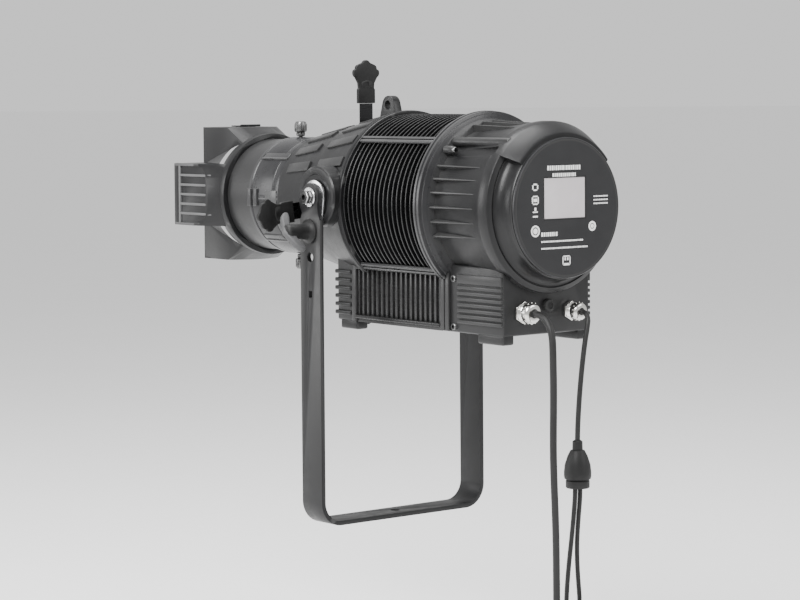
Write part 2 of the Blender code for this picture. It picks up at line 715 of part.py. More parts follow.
def shutters():
    """Four sliding blades, each with a moulded grip; across pairs lie in two layers."""
    floor = GATE_Y - GATE_SLIT / 2 + 2 * GAP
    for word, (angle, pushed, skew) in SHUTTERS.items():
        layer = floor + BLADE_T / 2 + (0 if abs(angle) == 90 else BLADE_T + 2 * GAP)
        slide = joint_empty(f"shutter_slide_{word}", on_axis(y=layer), head)
        turn = Matrix.Translation(on_axis(y=layer)) @ Matrix.Rotation(-math.radians(angle + skew), 4, "Y")
        turn = turn @ facing("Y", (0, 0, 0))
        half, stem = BLADE_W / 2, STEM_W / 2
        inner, outer, stem_end = BLADE_IN - pushed, BLADE_OUT - pushed, STEM_OUT - pushed
        blade = plate(f"shutter_blade_{word}", [[
            (inner, -half), (outer - 0.01, -half), (outer, -stem), (stem_end, -stem), (stem_end,
                    stem), (outer, stem),
            (outer - 0.01, half), (inner, half)]], BLADE_T, turn)
        keep(blade, slide, "steel")
        grip = plate(f"shutter_grip_{word}", [crown(stem_end + GAP, GRIP_OUT - pushed)], GRIP_T, turn)
        keep(grip, slide, "plastic_black")


def crown(low, high):
    """A grip that widens to a five-lobed head."""
    neck = GRIP_W / 2
    lobe = 0.0068
    side = CROWN_W / 2 - lobe
    shoulder = high - 0.0175
    half = [(low, -neck), (low + 0.019, -neck), (low + 0.021, -neck + 0.002), (shoulder - 0.013, -neck)]
    half += arc(shoulder, -side, lobe, 215, 305, 4)
    half += arc(high - 0.0118, -0.0120, 0.0055, 280, 340, 2)
    half += arc(high - lobe, 0, lobe, -55, 0, 3)
    return half + [(u, -v) for u, v in reversed(half[:-1])]


# ---- barrel and focus ---------------------------------------------------
BARREL_REAR = CONE_FRONT - GAP
TUBE_OUT = BARREL_R - BARREL_WALL - TUBE_PLAY
TUBE_IN = TUBE_OUT - TUBE_WALL


def barrel():
    """Two half shells with a slot each for the focus knobs."""
    for word, side in (("upper", 1), ("lower", -1)):
        shell = ring(f"barrel_shell_{word}", BARREL_R, BARREL_R - BARREL_WALL, BARREL_FRONT, BARREL_REAR,
                     "Y", on_axis())
        z = sorted((side * GAP / 2, -side * 0.12))
        combine(shell, box(f"half_{word}", (-0.12, 0.12), (BARREL_FRONT - 0.01, BARREL_REAR + 0.01),
                           above(*z)))
        slot = STUD_R + 0.0008
        slot_z = sorted((side * (BARREL_R - 0.02), side * (BARREL_R + 0.01)))
        combine(shell, box(f"focus_slot_{word}", (-slot, slot),
                           (KNOB_Y - FOCUS_OUT - slot, KNOB_Y + FOCUS_IN + slot), above(*slot_z)))
        keep(shell, head, "cast_black")


def focus_group():
    """The sliding lens tube with its lenses, clamp knobs and accessory holder."""
    tube = ring("focus_tube", TUBE_OUT, TUBE_IN, TUBE_FRONT, TUBE_REAR, "Y", on_axis())
    keep(tube, focus, "cast_black")
    seat = TUBE_IN - GAP
    lens("front_lens", seat, TUBE_FRONT + 0.026, 0.010, 0.006, focus)
    lens("rear_lens", seat, TUBE_REAR - 0.016, 0.004, 0.009, focus)
    lens_front = TUBE_FRONT + 0.026 - LENS_EDGE / 2
    keep(ring("lens_retainer", seat, seat - LENS_RIM + 0.001, TUBE_FRONT + 0.002, lens_front - GAP, "Y",
              on_axis()), focus,
         "plastic_black")
    for word, axis, side in (("top", "Z", 1), ("bottom", "-Z", -1)):
        turn = joint_empty(f"knob_pivot_{word}", on_axis(y=KNOB_Y, z=side * BARREL_R), focus)
        low = BARREL_R + 0.001
        knob = turned(f"focus_knob_{word}", [
            (0, low + COLLAR_H + KNOB_H), (KNOB_R * 0.7, low + COLLAR_H + KNOB_H),
            (KNOB_R, low + COLLAR_H + KNOB_H - 0.002), (KNOB_R, low + COLLAR_H), (COLLAR_R, low + COLLAR_H),
            (COLLAR_R, low), (STUD_R, low), (STUD_R, TUBE_OUT + GAP), (0, TUBE_OUT + GAP)],
            axis, on_axis(y=KNOB_Y), SMALL_SEG)
        keep(knob, turn, "plastic_black")


def cross_prism(name, arm, reach, low, high):
    """A plus-shaped bar along Y, about the origin."""
    level = box(name, (-reach, reach), (low, high), (-arm, arm))
    upright = box(name + "_upright", (-arm, arm), (low, high), (-reach, reach))
    return combine(level, upright, "UNION")


def star_body(name, inset, low, high):
    """The holder's outer form about the origin, or the hollow in it when inset by the wall."""
    step = 0.001
    straight = 0.009
    body = cross_prism(name, HOLDER_ARM - inset, HOLDER_REACH - inset, low, high - step)
    corner = math.hypot(HOLDER_ARM, HOLDER_REACH) + 0.004 - inset
    flare = turned(name + "_flare", [
        (0, high + step), (HOLDER_RING_R - 0.002 - inset, high + step),
        (HOLDER_RING_R - 0.002 - inset, high - straight),
        (corner, FLARE_Y), (corner, low - step), (0, low - step)], "Y", segments=24)
    combine(body, flare, "INTERSECT")
    valley = turned(name + "_valley", [
        (0, high), (HOLDER_RING_R - inset, high), (HOLDER_RING_R - inset, high - straight - step),
        (HOLDER_ARM * math.sqrt(2) - 0.002 - inset, low + step), (0, low + step)], "Y", segments=24)
    combine(body, valley, "UNION")
    return body


def accessory_holder():
    """A four-armed hood on the tube's front, with a slot for a colour frame."""
    holder = star_body("accessory_holder", 0, HOLDER_FRONT, HOLDER_REAR)
    collar = HOLDER_REAR - HOLDER_COLLAR
    seat = disc("tube_seat", TUBE_OUT + GAP, collar - 0.005, HOLDER_REAR + 0.01, "Y")
    rows = []
    for i in range(VENT_ROWS):
        z = (i - (VENT_ROWS - 1) / 2) * VENT_PITCH
        rows.append(((-0.12, 0.12), (HOLDER_FRONT + 0.012, HOLDER_FRONT + 0.080),
                     (z - VENT_H / 2, z + VENT_H / 2)))
    half = FRAME_SLOT_T / 2
    wide = HOLDER_ARM - HOLDER_WALL - 0.001
    slot = box("frame_slot", (-wide, wide), (FRAME_SLOT_Y - half, FRAME_SLOT_Y + half), (0.06, 0.12))
    hollow = star_body("holder_hollow", HOLDER_WALL, HOLDER_FRONT - 0.01, collar)
    apply_all(holder, [seat, boxes("side_vents", rows), slot, hollow])
    shift(holder, Vector(on_axis()))
    keep(holder, focus, "cast_black")
    hinge_y = FRAME_SLOT_Y + 0.012
    low = HOLDER_REACH + GAP
    turn = joint_empty("clip_pivot", on_axis(-HOLDER_ARM / 2, hinge_y, low + 0.0015), focus)
    clip = box("frame_clip", (4 * GAP - HOLDER_ARM + 0.002, -0.004), (FRAME_SLOT_Y - 0.009, hinge_y),
               above(low, low + 0.0015))
    barrel_x = disc("clip_barrel", 0.0015, 0.006, HOLDER_ARM - 0.004, "-X",
                    on_axis(y=hinge_y, z=low + 0.0015), 12)
    combine(clip, barrel_x, "UNION")
    keep(clip, turn, "steel")


# ---- lower box ----------------------------------------------------------
def lower_box():
    """Finned side panels, a bottom plate and the driver between the castings."""
    y0, y1 = FRONT_BOX_Y[1] + GAP, REAR_BOX_Y[0] - GAP
    floor_top = BOX_BOTTOM + 0.004
    panel_low = BOX_BOTTOM + 0.0045 + GAP
    panel_top = BOX_TOP - 0.001
    pitch = (y1 - y0) / (PANEL_GROOVES + 0.5)
    inner = BOX_HALF - PANEL_T - 0.003
    for word, side in SIDES.items():
        comb = [(side * inner, y0), (side * BOX_HALF, y0)]
        for i in range(PANEL_GROOVES):
            start = y0 + pitch * (i + 0.5)
            comb += [(side * BOX_HALF, start), (side * (BOX_HALF - PANEL_T), start + pitch * 0.15),
                     (side * (BOX_HALF - PANEL_T), start + pitch * 0.7), (side * BOX_HALF,
                             start + pitch * 0.85)]
        comb += [(side * BOX_HALF, y1), (side * inner, y1)]
        middle = (panel_low + panel_top) / 2
        panel = plate(f"side_panel_{word}", [comb], panel_top - panel_low, facing("Z", on_axis(z=middle)))
        edge = sorted((side * (BOX_HALF - 0.002), side * (BOX_HALF + RAIL_OUT)))
        rails = [(edge, (y0, y1), above(BOX_TOP - RAIL_H, BOX_TOP)),
                 (edge, (y0, y1), above(panel_low, panel_low + RAIL_H))]
        combine(panel, boxes(f"rails_{word}", rails), "UNION")
        keep(panel, head, "fin_black")
    keep(box("bottom_plate", (-BOX_HALF, BOX_HALF), (y0, y1), above(BOX_BOTTOM, floor_top)), head,
         "cast_black")
    low = floor_top + GAP
    keep(box("driver_module", (-0.046, 0.046), (y0 + 0.012, y1 - 0.012), above(low, BOX_TOP - 0.016)), head,
         "steel")


# ---- rear housing -------------------------------------------------------
HOUSING_FRONT = RING_REAR + GAP
DISC_FRONT = DISC_REAR - DISC_T
DRUM_REAR = DISC_FRONT - GAP


def rear_profile(inset):
    """The rear housing's side from its rear to its front, inset by a wall."""
    return [
        (DRUM_R - inset, DRUM_REAR), (DRUM_R + 0.002 - inset, DRUM_REAR - 0.009), (0.096 - inset,
                SHOULDER_Y + 0.002),
        (0.100 - inset, SHOULDER_Y + 0.003), (SHOULDER_R - inset, SHOULDER_Y), (SHOULDER_R - inset,
                SHOULDER_Y - 0.018),
        (NECK_R - inset, HOUSING_FRONT)]


def rear_housing():
    """The round ribbed casting with the rear of the lower box."""
    shell = turned("rear_housing", [(0, DRUM_REAR)] + rear_profile(0) + [(0, HOUSING_FRONT)], "Y", on_axis())
    hood = turned("hood", [(DRUM_R - 0.001, DRUM_REAR - 0.0005), (DRUM_R + 0.005, DRUM_REAR - 0.0005),
                           (SHOULDER_R - 0.0005, SHOULDER_Y + 0.001), (SHOULDER_R - 0.0005,
                                   SHOULDER_Y - 0.004),
                           (DRUM_R - 0.001, SHOULDER_Y - 0.004)], "Y", on_axis(), SEG, closed=True)
    reach = 0.16
    half = math.degrees(HOOD_SPREAD) / 2
    fan = [(0, 0)] + arc(0, 0, reach, 90 - half, 90 + half, 8)
    combine(hood, plate("hood_fan", [fan], 0.12, facing("Y", on_axis(y=SHOULDER_Y))), "INTERSECT")
    combine(shell, hood, "UNION")
    casting = box("rear_box", (-BOX_HALF, BOX_HALF), REAR_BOX_Y, above(BOX_BOTTOM, BOX_TOP))
    combine(shell, casting, "UNION")
    y_rear = REAR_BOX_Y[1]
    combine(shell, feet("rear_feet", y_rear - FOOT_L, y_rear - FOOT_INSET), "UNION")
    combine(shell, boxes("rear_ribs", rib_rows(HOUSING_FRONT + 0.012, y_rear)), "UNION")
    combine(shell, housing_ribs(), "UNION")
    hollow = turned("rear_hollow", [(0, DRUM_REAR + 0.01),
                                    (DRUM_R - WALL, DRUM_REAR + 0.01)] + rear_profile(WALL)[1:]
                    + [(NECK_R - WALL, HOUSING_FRONT - 0.01), (0, HOUSING_FRONT - 0.01)], "Y", on_axis())
    inside = BOX_HALF - BOX_WALL
    room = box("rear_box_bore", (-inside, inside), (REAR_BOX_Y[0] - 0.01, y_rear - BOX_WALL),
               above(BOX_BOTTOM + BOX_WALL, -NECK_R + 0.002))
    apply_all(shell, [hollow, room])
    keep(shell, head, "cast_black")


def housing_ribs():
    """Ribs along the round housing that die out towards the shoulder."""
    bm = bmesh.new()
    length = SHOULDER_Y - 0.022 - HOUSING_FRONT
    height = SHOULDER_R - NECK_R + 0.004
    angles = [s * (90 + a) for s in (-1, 1) for a in (-29, -19.5, -10, 0, 10, 20)] + [-18, -9, 0, 9, 18]
    for angle in angles:
        place = Matrix.Rotation(math.radians(angle), 4, "Y") @ Matrix.Translation(
            (0, HOUSING_FRONT + 0.002 + length / 2,
             NECK_R + 0.001)) @ Matrix.Diagonal((0.0034, length, height, 1))
        bmesh.ops.create_cube(bm, size=1, matrix=place)
    obj = mesh_object("housing_ribs", bm)
    obj.location = on_axis()
    return obj


def display():
    """The round display panel, its touch screen and the control board."""
    panel = disc("display_panel", DISC_R, DISC_FRONT, DISC_REAR, "Y", on_axis())
    half_w, half_h = SCREEN_W / 2, SCREEN_H / 2
    window = box("screen_window", (SCREEN_X - half_w - GAP, SCREEN_X + half_w + GAP),
                 (DISC_FRONT - 0.01, DISC_REAR + 0.01),
                 above(SCREEN_Z - half_h - GAP, SCREEN_Z + half_h + GAP))
    combine(panel, window)
    keep(panel, head, "panel_black")
    screen_rear = DISC_REAR - 0.0008
    screen_front = screen_rear - SCREEN_DEPTH
    screen = box("touch_screen", (SCREEN_X - half_w, SCREEN_X + half_w), (screen_front, screen_rear),
                 above(SCREEN_Z - half_h, SCREEN_Z + half_h))
    keep(screen, head, "screen_grey")
    board_rear = screen_front - GAP
    keep(disc("control_board", BOARD_R, board_rear - BOARD_T, board_rear, "Y", on_axis(), 24), head,
         "board_green")


def rear_fittings():
    """Cable glands and the breather on the rear face."""
    face = REAR_BOX_Y[1] + GAP
    for word, (x, z, r, hole) in GLANDS.items():
        end = face + GLAND_BODY_L
        bore = hole + 0.001
        body = turned(f"gland_body_{word}", [
            (bore, end), (r * 0.8, end), (r * 0.8, end - 0.004), (r, end - 0.005), (r, face + GLAND_HEX_L),
            (r * 1.05, face + GLAND_HEX_L),
            (r * 1.05, face), (bore, face)], "Y", on_axis(x, 0, z), 12, closed=True)
        keep(body, head, "steel")
        low = end + GAP
        high = low + GLAND_NUT_L
        nut = turned(f"gland_nut_{word}", [
            (bore, high), (r * 0.62, high), (r * 0.88, high - 0.005), (r * 0.92, high - 0.006), (r * 0.92,
                    low), (bore, low)],
            "Y", on_axis(x, 0, z), 12, closed=True)
        keep(nut, head, "steel")
    keep(disc("vent_plug", VENT_R, face, face + VENT_L, "Y", on_axis(0, 0, VENT_Z), SMALL_SEG), head,
         "plastic_black")


# ---- cords --------------------------------------------------------------
def beside_coil(r):
    """Height from the coil's middle at which a round end of radius r clears its side."""
    return math.sqrt((COIL_R + POWER_CORD_D / 2)**2 - (COIL_R - r)**2)


def cords():
    """Power and signal cords with what hangs on them."""
    cord("power_cord", POWER_ROUTE, POWER_CORD_D)
    x, y, z = POWER_ROUTE[-1]
    r = POWER_CORD_D / 2
    centre = (x - COIL_R, y + COIL_TURNS * POWER_CORD_D / 2, z - GAP - beside_coil(r))
    depth = (COIL_TURNS + 1) * POWER_CORD_D
    coil = ring("power_coil", COIL_R + r, COIL_R - r, -depth / 2, depth / 2, "Y", centre, 24)
    keep(coil, None, "cord_black")
    plug_top = centre[2] - beside_coil(PLUG_BOOT_R) - GAP
    plug = turned("power_plug", [
        (0, 0), (PLUG_BOOT_R, 0), (0.010, -0.018), (PLUG_R, -0.024), (PLUG_R, -0.058), (PLUG_R * 0.85,
                -0.060),
        (PLUG_R * 0.85, -PLUG_L), (0, -PLUG_L)], "Z", (x, y + COIL_TURNS * POWER_CORD_D, plug_top), SMALL_SEG)
    keep(plug, None, "plastic_black")
    cord("signal_cord", SIGNAL_ROUTE, SIGNAL_CORD_D)
    x, y, _ = SIGNAL_ROUTE[-1]
    splitter = turned("y_splitter", [
        (0, 0), (0.0060, 0), (0.0066, -0.010), (0.0095, -0.013), (0.0165, -0.032), (0.0170,
                -0.045), (0.0140, -0.050),
        (0.0140, -SPLIT_L), (0, -SPLIT_L)], "Z", (x, y, SPLIT_TOP), SMALL_SEG)
    keep(splitter, None, "plastic_black")
    for word, route in BRANCH_ROUTES.items():
        cord(f"branch_cord_{word}", route, BRANCH_CORD_D)
        end_x, end_y, end_z = route[-1]
        connector = turned(f"branch_connector_{word}", [
            (0, 0), (0.0052, 0), (0.0070, -0.014), (CONNECTOR_R, -0.018), (CONNECTOR_R, -CONNECTOR_L), (0,
                    -CONNECTOR_L)],
            "Z", (end_x, end_y, end_z - GAP), SMALL_SEG)
        keep(connector, None, "plastic_black")


yoke_strap()
pivots()
heat_sink()
front_housing()
light_engine()
shutters()
barrel()
focus_group()
accessory_holder()
lower_box()
rear_housing()
display()
rear_fittings()
cords()

bpy.context.view_layer.update()
for piece in parts.objects:
    if piece.type == "MESH":
        smooth(piece.data)
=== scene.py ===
import json
from math import asin, atan2, cos, degrees, hypot, pi, radians, sin, sqrt

import bpy
from mathutils import Matrix, Vector


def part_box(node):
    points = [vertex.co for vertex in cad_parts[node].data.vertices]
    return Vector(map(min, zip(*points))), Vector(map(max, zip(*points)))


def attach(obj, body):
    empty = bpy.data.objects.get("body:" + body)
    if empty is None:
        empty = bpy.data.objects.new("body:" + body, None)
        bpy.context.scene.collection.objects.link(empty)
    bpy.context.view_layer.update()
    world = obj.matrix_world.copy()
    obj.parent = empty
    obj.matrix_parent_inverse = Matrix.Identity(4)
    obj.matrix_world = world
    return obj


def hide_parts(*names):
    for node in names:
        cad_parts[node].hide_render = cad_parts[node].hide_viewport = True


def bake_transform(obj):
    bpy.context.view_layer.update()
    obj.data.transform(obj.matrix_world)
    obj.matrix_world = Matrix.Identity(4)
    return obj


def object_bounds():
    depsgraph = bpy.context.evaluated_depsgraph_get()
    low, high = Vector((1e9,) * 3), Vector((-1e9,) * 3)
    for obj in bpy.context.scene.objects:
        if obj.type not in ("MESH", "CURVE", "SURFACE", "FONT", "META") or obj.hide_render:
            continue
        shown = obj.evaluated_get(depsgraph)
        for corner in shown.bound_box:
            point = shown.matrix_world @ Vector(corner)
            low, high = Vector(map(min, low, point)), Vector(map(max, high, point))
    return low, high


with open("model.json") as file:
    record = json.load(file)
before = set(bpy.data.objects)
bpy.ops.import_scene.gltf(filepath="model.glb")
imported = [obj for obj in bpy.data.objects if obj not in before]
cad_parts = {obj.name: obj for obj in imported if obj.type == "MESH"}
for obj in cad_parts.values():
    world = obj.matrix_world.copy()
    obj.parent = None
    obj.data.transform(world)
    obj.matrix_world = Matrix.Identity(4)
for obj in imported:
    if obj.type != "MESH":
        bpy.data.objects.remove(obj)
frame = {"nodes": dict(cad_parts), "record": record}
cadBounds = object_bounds()


def middleOf(node):
    low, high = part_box(node)
    return Vector([(a + b) / 2 for a, b in zip(low, high)])


axisZ = middleOf("display_panel").z      # the optical axis
tiltZ = middleOf("pivot_bolt_left").z    # the axis that the head tilts on
gap = 0.0003                             # between two pieces that touch
sides = {"left": 1, "right": -1}

# Camera: level with the head, behind and to its left
camera = {
    "aim": (0, 0.0237, axisZ),
    "distance": 3.3906,
    "round": radians(38.53),
    "up": radians(2.53),
    "roll": radians(-0.43),
    "lens": 114.1,
    "shift": (-0.0048, -0.125),
}
cameraData = bpy.data.cameras.new("stageCamera")
cameraData.lens = camera["lens"]
cameraData.sensor_width = 36
cameraData.clip_end = 100
cameraData.shift_x, cameraData.shift_y = camera["shift"]
back = Vector((sin(camera["round"]) * cos(camera["up"]), cos(camera["round"]) * cos(camera["up"]), sin(camera["up"])))
right = Vector((0, 0, 1)).cross(back).normalized()
over = back.cross(right)
rolledRight = right * cos(camera["roll"]) + over * sin(camera["roll"])
rolledOver = over * cos(camera["roll"]) - right * sin(camera["roll"])
cameraObject = bpy.data.objects.new("stageCamera", cameraData)
cameraObject.matrix_world = Matrix.Translation(Vector(camera["aim"]) + back * camera["distance"]) @ Matrix(
    [(*row, 0) for row in zip(rolledRight, rolledOver, back)] + [(0, 0, 0, 1)])
bpy.context.scene.collection.objects.link(cameraObject)
bpy.context.scene.camera = cameraObject
print("camera placed")


# Finishes. Each is a tree of noise over Object coordinates; what is even all over is set on the shader
def startFinish(name, roughness, metallic, coat=0.0):
    material = bpy.data.materials.new(name)
    material.use_nodes = True
    tree = material.node_tree
    shader = tree.nodes["Principled BSDF"]
    shader.inputs["Roughness"].default_value = roughness
    shader.inputs["Metallic"].default_value = metallic
    shader.inputs["Coat Weight"].default_value = coat
    shader.inputs["Coat Roughness"].default_value = 0.2
    shader.inputs["Specular IOR Level"].default_value = 0.24
    return material, tree, shader


def addNode(tree, kind, values=None, **settings):
    node = tree.nodes.new(kind)
    for key, value in settings.items():
        setattr(node, key, value)
    for key, value in (values or {}).items():
        node.inputs[key].default_value = value
    return node


def objectPlace(tree, stretch=(1, 1, 1)):
    place = addNode(tree, "ShaderNodeTexCoord")
    mapping = addNode(tree, "ShaderNodeMapping", {"Scale": stretch})
    tree.links.new(place.outputs["Object"], mapping.inputs["Vector"])
    return mapping.outputs["Vector"]


def noise(tree, place, scale, detail=3, roughness=0.55):
    node = addNode(tree, "ShaderNodeTexNoise", {"Scale": scale, "Detail": detail, "Roughness": roughness})
    tree.links.new(place, node.inputs["Vector"])
    return node.outputs["Fac"]


def spread(tree, fac, low, high, fromLow=0.3, fromHigh=0.7):
    node = addNode(tree, "ShaderNodeMapRange", {"From Min": fromLow, "From Max": fromHigh, "To Min": low, "To Max": high})
    tree.links.new(fac, node.inputs["Value"])
    return node.outputs["Result"]


def mixColour(tree, fac, first, second):
    node = addNode(tree, "ShaderNodeMix", data_type="RGBA")
    tree.links.new(fac, node.inputs[0])
    for socket, value in ((node.inputs[6], first), (node.inputs[7], second)):
        if isinstance(value, tuple):
            socket.default_value = (*value, 1)
        else:
            tree.links.new(value, socket)
    return node.outputs[2]


def raiseGrain(tree, shader, height, depth, under=None):
    bump = addNode(tree, "ShaderNodeBump", {"Strength": 1.0, "Distance": depth})
    tree.links.new(height, bump.inputs["Height"])
    if under:
        tree.links.new(under, bump.inputs["Normal"])
    tree.links.new(bump.outputs["Normal"], shader.inputs["Normal"])
    return bump.outputs["Normal"]


# The lighter edge colour in each finish below is a painted highlight for sharp edges.
finishes = {
    "castPaint": {"dark": (0.0060, 0.0060, 0.0064), "light": (0.0105, 0.0105, 0.0110), "edgeHighlight": (0.045, 0.045, 0.045),
                  "rough": (0.30, 0.42), "metallic": 0.0, "coat": 0.05, "grain": 1500, "depth": 0.00006, "patch": 14},
    "ringPaint": {"dark": (0.010, 0.010, 0.011), "light": (0.018, 0.018, 0.019), "edgeHighlight": (0.10, 0.10, 0.10),
                  "rough": (0.24, 0.34), "metallic": 0.0, "coat": 0.15, "grain": 1500, "depth": 0.00004, "patch": 20},
    "strapPaint": {"dark": (0.0065, 0.0065, 0.0068), "light": (0.0110, 0.0110, 0.0115), "edgeHighlight": (0.045, 0.045, 0.045),
                   "rough": (0.36, 0.50), "metallic": 0.0, "coat": 0.0, "grain": 1100, "depth": 0.00010, "patch": 18},
    "finAnodised": {"dark": (0.0045, 0.0045, 0.0048), "light": (0.0080, 0.0080, 0.0085), "edgeHighlight": (0.05, 0.05, 0.05),
                    "rough": (0.22, 0.34), "metallic": 0.2, "coat": 0.12, "grain": 900, "depth": 0.00003, "patch": 26},
    "mouldedBlack": {"dark": (0.0065, 0.0065, 0.0065), "light": (0.0110, 0.0110, 0.0110), "edgeHighlight": (0.028, 0.028, 0.028),
                     "rough": (0.42, 0.56), "metallic": 0.0, "coat": 0.0, "grain": 2200, "depth": 0.00008, "patch": 30},
    "wingGrey": {"dark": (0.045, 0.045, 0.046), "light": (0.070, 0.070, 0.072), "edgeHighlight": (0.16, 0.16, 0.16),
                 "rough": (0.40, 0.54), "metallic": 0.0, "coat": 0.0, "grain": 2000, "depth": 0.00006, "patch": 30},
    "bareAluminium": {"dark": (0.42, 0.42, 0.43), "light": (0.60, 0.60, 0.61), "edgeHighlight": (0.8, 0.8, 0.8),
                      "rough": (0.25, 0.40), "metallic": 1.0, "coat": 0.0, "grain": 700, "depth": 0.00003, "patch": 40},
    "nickelPlate": {"dark": (0.55, 0.54, 0.51), "light": (0.74, 0.73, 0.70), "edgeHighlight": (0.9, 0.9, 0.88),
                    "rough": (0.10, 0.22), "metallic": 1.0, "coat": 0.0, "grain": 500, "depth": 0.00002, "patch": 60},
    "boltZinc": {"dark": (0.48, 0.48, 0.49), "light": (0.68, 0.68, 0.70), "edgeHighlight": (0.9, 0.9, 0.9),
                 "rough": (0.16, 0.30), "metallic": 1.0, "coat": 0.0, "grain": 600, "depth": 0.00003, "patch": 60},
    "screwBlack": {"dark": (0.02, 0.02, 0.02), "light": (0.05, 0.05, 0.05), "edgeHighlight": (0.35, 0.35, 0.35),
                   "rough": (0.22, 0.35), "metallic": 0.8, "coat": 0.0, "grain": 900, "depth": 0.00003, "patch": 60},
}


def makePaint(name, look):
    material, tree, shader = startFinish(name, 0.4, look["metallic"], look["coat"])
    place = objectPlace(tree)
    patch = noise(tree, place, look["patch"], 5)
    body = mixColour(tree, spread(tree, patch, 0, 1, 0.35, 0.65), look["dark"], look["light"])
    edge = addNode(tree, "ShaderNodeNewGeometry")                  # a little lighter along sharp edges: a painted highlight
    edgeHighlightMask = spread(tree, edge.outputs["Pointiness"], 0, 0.8, 0.535, 0.60)
    tree.links.new(mixColour(tree, edgeHighlightMask, body, look["edgeHighlight"]), shader.inputs["Base Color"])
    tree.links.new(spread(tree, noise(tree, place, look["patch"] * 4, 4), *look["rough"]), shader.inputs["Roughness"])
    raiseGrain(tree, shader, noise(tree, place, look["grain"], 2), look["depth"])
    return material


paints = {name: makePaint(name, look) for name, look in finishes.items()}


def makeBladeSteel():
    # rolled sheet: fine streaks along the blade
    material, tree, shader = startFinish("bladeSteel", 0.3, 1.0)
    streak = noise(tree, objectPlace(tree, (60, 900, 900)), 1, 4)
    tree.links.new(mixColour(tree, streak, (0.020, 0.020, 0.021), (0.045, 0.045, 0.046)), shader.inputs["Base Color"])
    tree.links.new(spread(tree, streak, 0.22, 0.42), shader.inputs["Roughness"])
    raiseGrain(tree, shader, streak, 0.00003)
    return material


def makeGlass():
    # coated lens glass: clear, with a violet cast that strengthens at a low angle
    material, tree, shader = startFinish("lensGlass", 0.03, 0.0)
    shader.inputs["Transmission Weight"].default_value = 0.92
    shader.inputs["IOR"].default_value = 1.52
    facing = addNode(tree, "ShaderNodeLayerWeight", {"Blend": 0.35})
    tree.links.new(mixColour(tree, facing.outputs["Facing"], (0.93, 0.95, 0.96), (0.55, 0.52, 0.72)),
                   shader.inputs["Base Color"])
    dust = noise(tree, objectPlace(tree), 240, 4)
    tree.links.new(spread(tree, dust, 0.02, 0.07), shader.inputs["Roughness"])
    return material


def makeScreen():
    # an unlit panel behind glass, grey with a cloudy tone, with its pixel rows
    material, tree, shader = startFinish("screenGlass", 0.16, 0.0, 0.8)
    place = objectPlace(tree)
    wave = addNode(tree, "ShaderNodeTexWave", {"Scale": 420.0, "Distortion": 0.0, "Detail": 0.0}, bands_direction="Z")
    tree.links.new(place, wave.inputs["Vector"])
    cloud = noise(tree, place, 16, 3)
    base = mixColour(tree, spread(tree, cloud, 0, 1), (0.44, 0.41, 0.42), (0.52, 0.49, 0.50))
    tree.links.new(mixColour(tree, spread(tree, wave.outputs["Fac"], 0, 0.12, 0, 1), base, (0.36, 0.34, 0.36)),
                   shader.inputs["Base Color"])
    tree.links.new(spread(tree, noise(tree, place, 60, 4), 0.12, 0.22), shader.inputs["Roughness"])
    return material


def makeFilm():
    # the printed film over the rear panel: satin, with a fine velvet grain
    material, tree, shader = startFinish("panelFilm", 0.38, 0.0, 0.15)
    place = objectPlace(tree)
    cloud = noise(tree, place, 22, 4)
    tree.links.new(mixColour(tree, cloud, (0.011, 0.011, 0.012), (0.017, 0.017, 0.018)), shader.inputs["Base Color"])
    tree.links.new(spread(tree, noise(tree, place, 90, 4), 0.34, 0.46), shader.inputs["Roughness"])
    raiseGrain(tree, shader, noise(tree, place, 2600, 2), 0.00004)
    return material


def makeInk():
    material, tree, shader = startFinish("printInk", 0.5, 0.0)
    place = objectPlace(tree)
    tree.links.new(mixColour(tree, noise(tree, place, 900, 4), (0.62, 0.62, 0.61), (0.86, 0.86, 0.85)),
                   shader.inputs["Base Color"])
    raiseGrain(tree, shader, noise(tree, place, 1800, 3), 0.00003)
    return material


def makeBoard():
    # solder mask with the tracks showing through
    material, tree, shader = startFinish("boardMask", 0.35, 0.0, 0.3)
    place = objectPlace(tree)
    tracks = addNode(tree, "ShaderNodeTexBrick", {"Scale": 90.0, "Mortar Size": 0.03, "Color1": (0.01, 0.10, 0.04, 1),
                                                  "Color2": (0.015, 0.13, 0.05, 1), "Mortar": (0.05, 0.28, 0.10, 1)})
    tree.links.new(place, tracks.inputs["Vector"])
    tree.links.new(tracks.outputs["Color"], shader.inputs["Base Color"])
    raiseGrain(tree, shader, noise(tree, place, 400, 3), 0.00005)
    return material


def makeSheath():
    # rubber sheath: dull, slightly ribbed where the cores press through
    material, tree, shader = startFinish("cordSheath", 0.5, 0.0)
    place = objectPlace(tree)
    cloud = noise(tree, place, 30, 5)
    tree.links.new(mixColour(tree, cloud, (0.010, 0.010, 0.010), (0.020, 0.020, 0.020)), shader.inputs["Base Color"])
    tree.links.new(spread(tree, noise(tree, place, 120, 4), 0.36, 0.54), shader.inputs["Roughness"])
    fine = noise(tree, place, 1600, 2)
    under = raiseGrain(tree, shader, fine, 0.00008)
    raiseGrain(tree, shader, noise(tree, place, 90, 3), 0.00025, under)
    return material


paints.update(bladeSteel=makeBladeSteel(), lensGlass=makeGlass(), screenGlass=makeScreen(), panelFilm=makeFilm(),
              printInk=makeInk(), boardMask=makeBoard(), cordSheath=makeSheath())

# which finish each material slot of the record takes
slotFinish = {
    "strap_paint": "strapPaint", "bolt_steel": "boltZinc", "moulded_black": "mouldedBlack", "cast_paint": "castPaint",
    "fin_anodised": "finAnodised", "panel_film": "panelFilm", "screen_glass": "screenGlass",
    "circuit_board": "boardMask", "bare_aluminium": "bareAluminium", "optical_glass": "lensGlass",
    "blade_steel": "bladeSteel", "nickel": "nickelPlate", "cord_sheath": "cordSheath",
}
slotOf = {row["node"]: row["material_slot"] for row in frame["record"]["subparts"]}
for node, carried in frame["nodes"].items():
    if not carried.material_slots:
        carried.data.materials.append(None)
    for held in carried.material_slots:
        held.material = paints[slotFinish[slotOf[node]]]
print("finishes made:", len(paints))


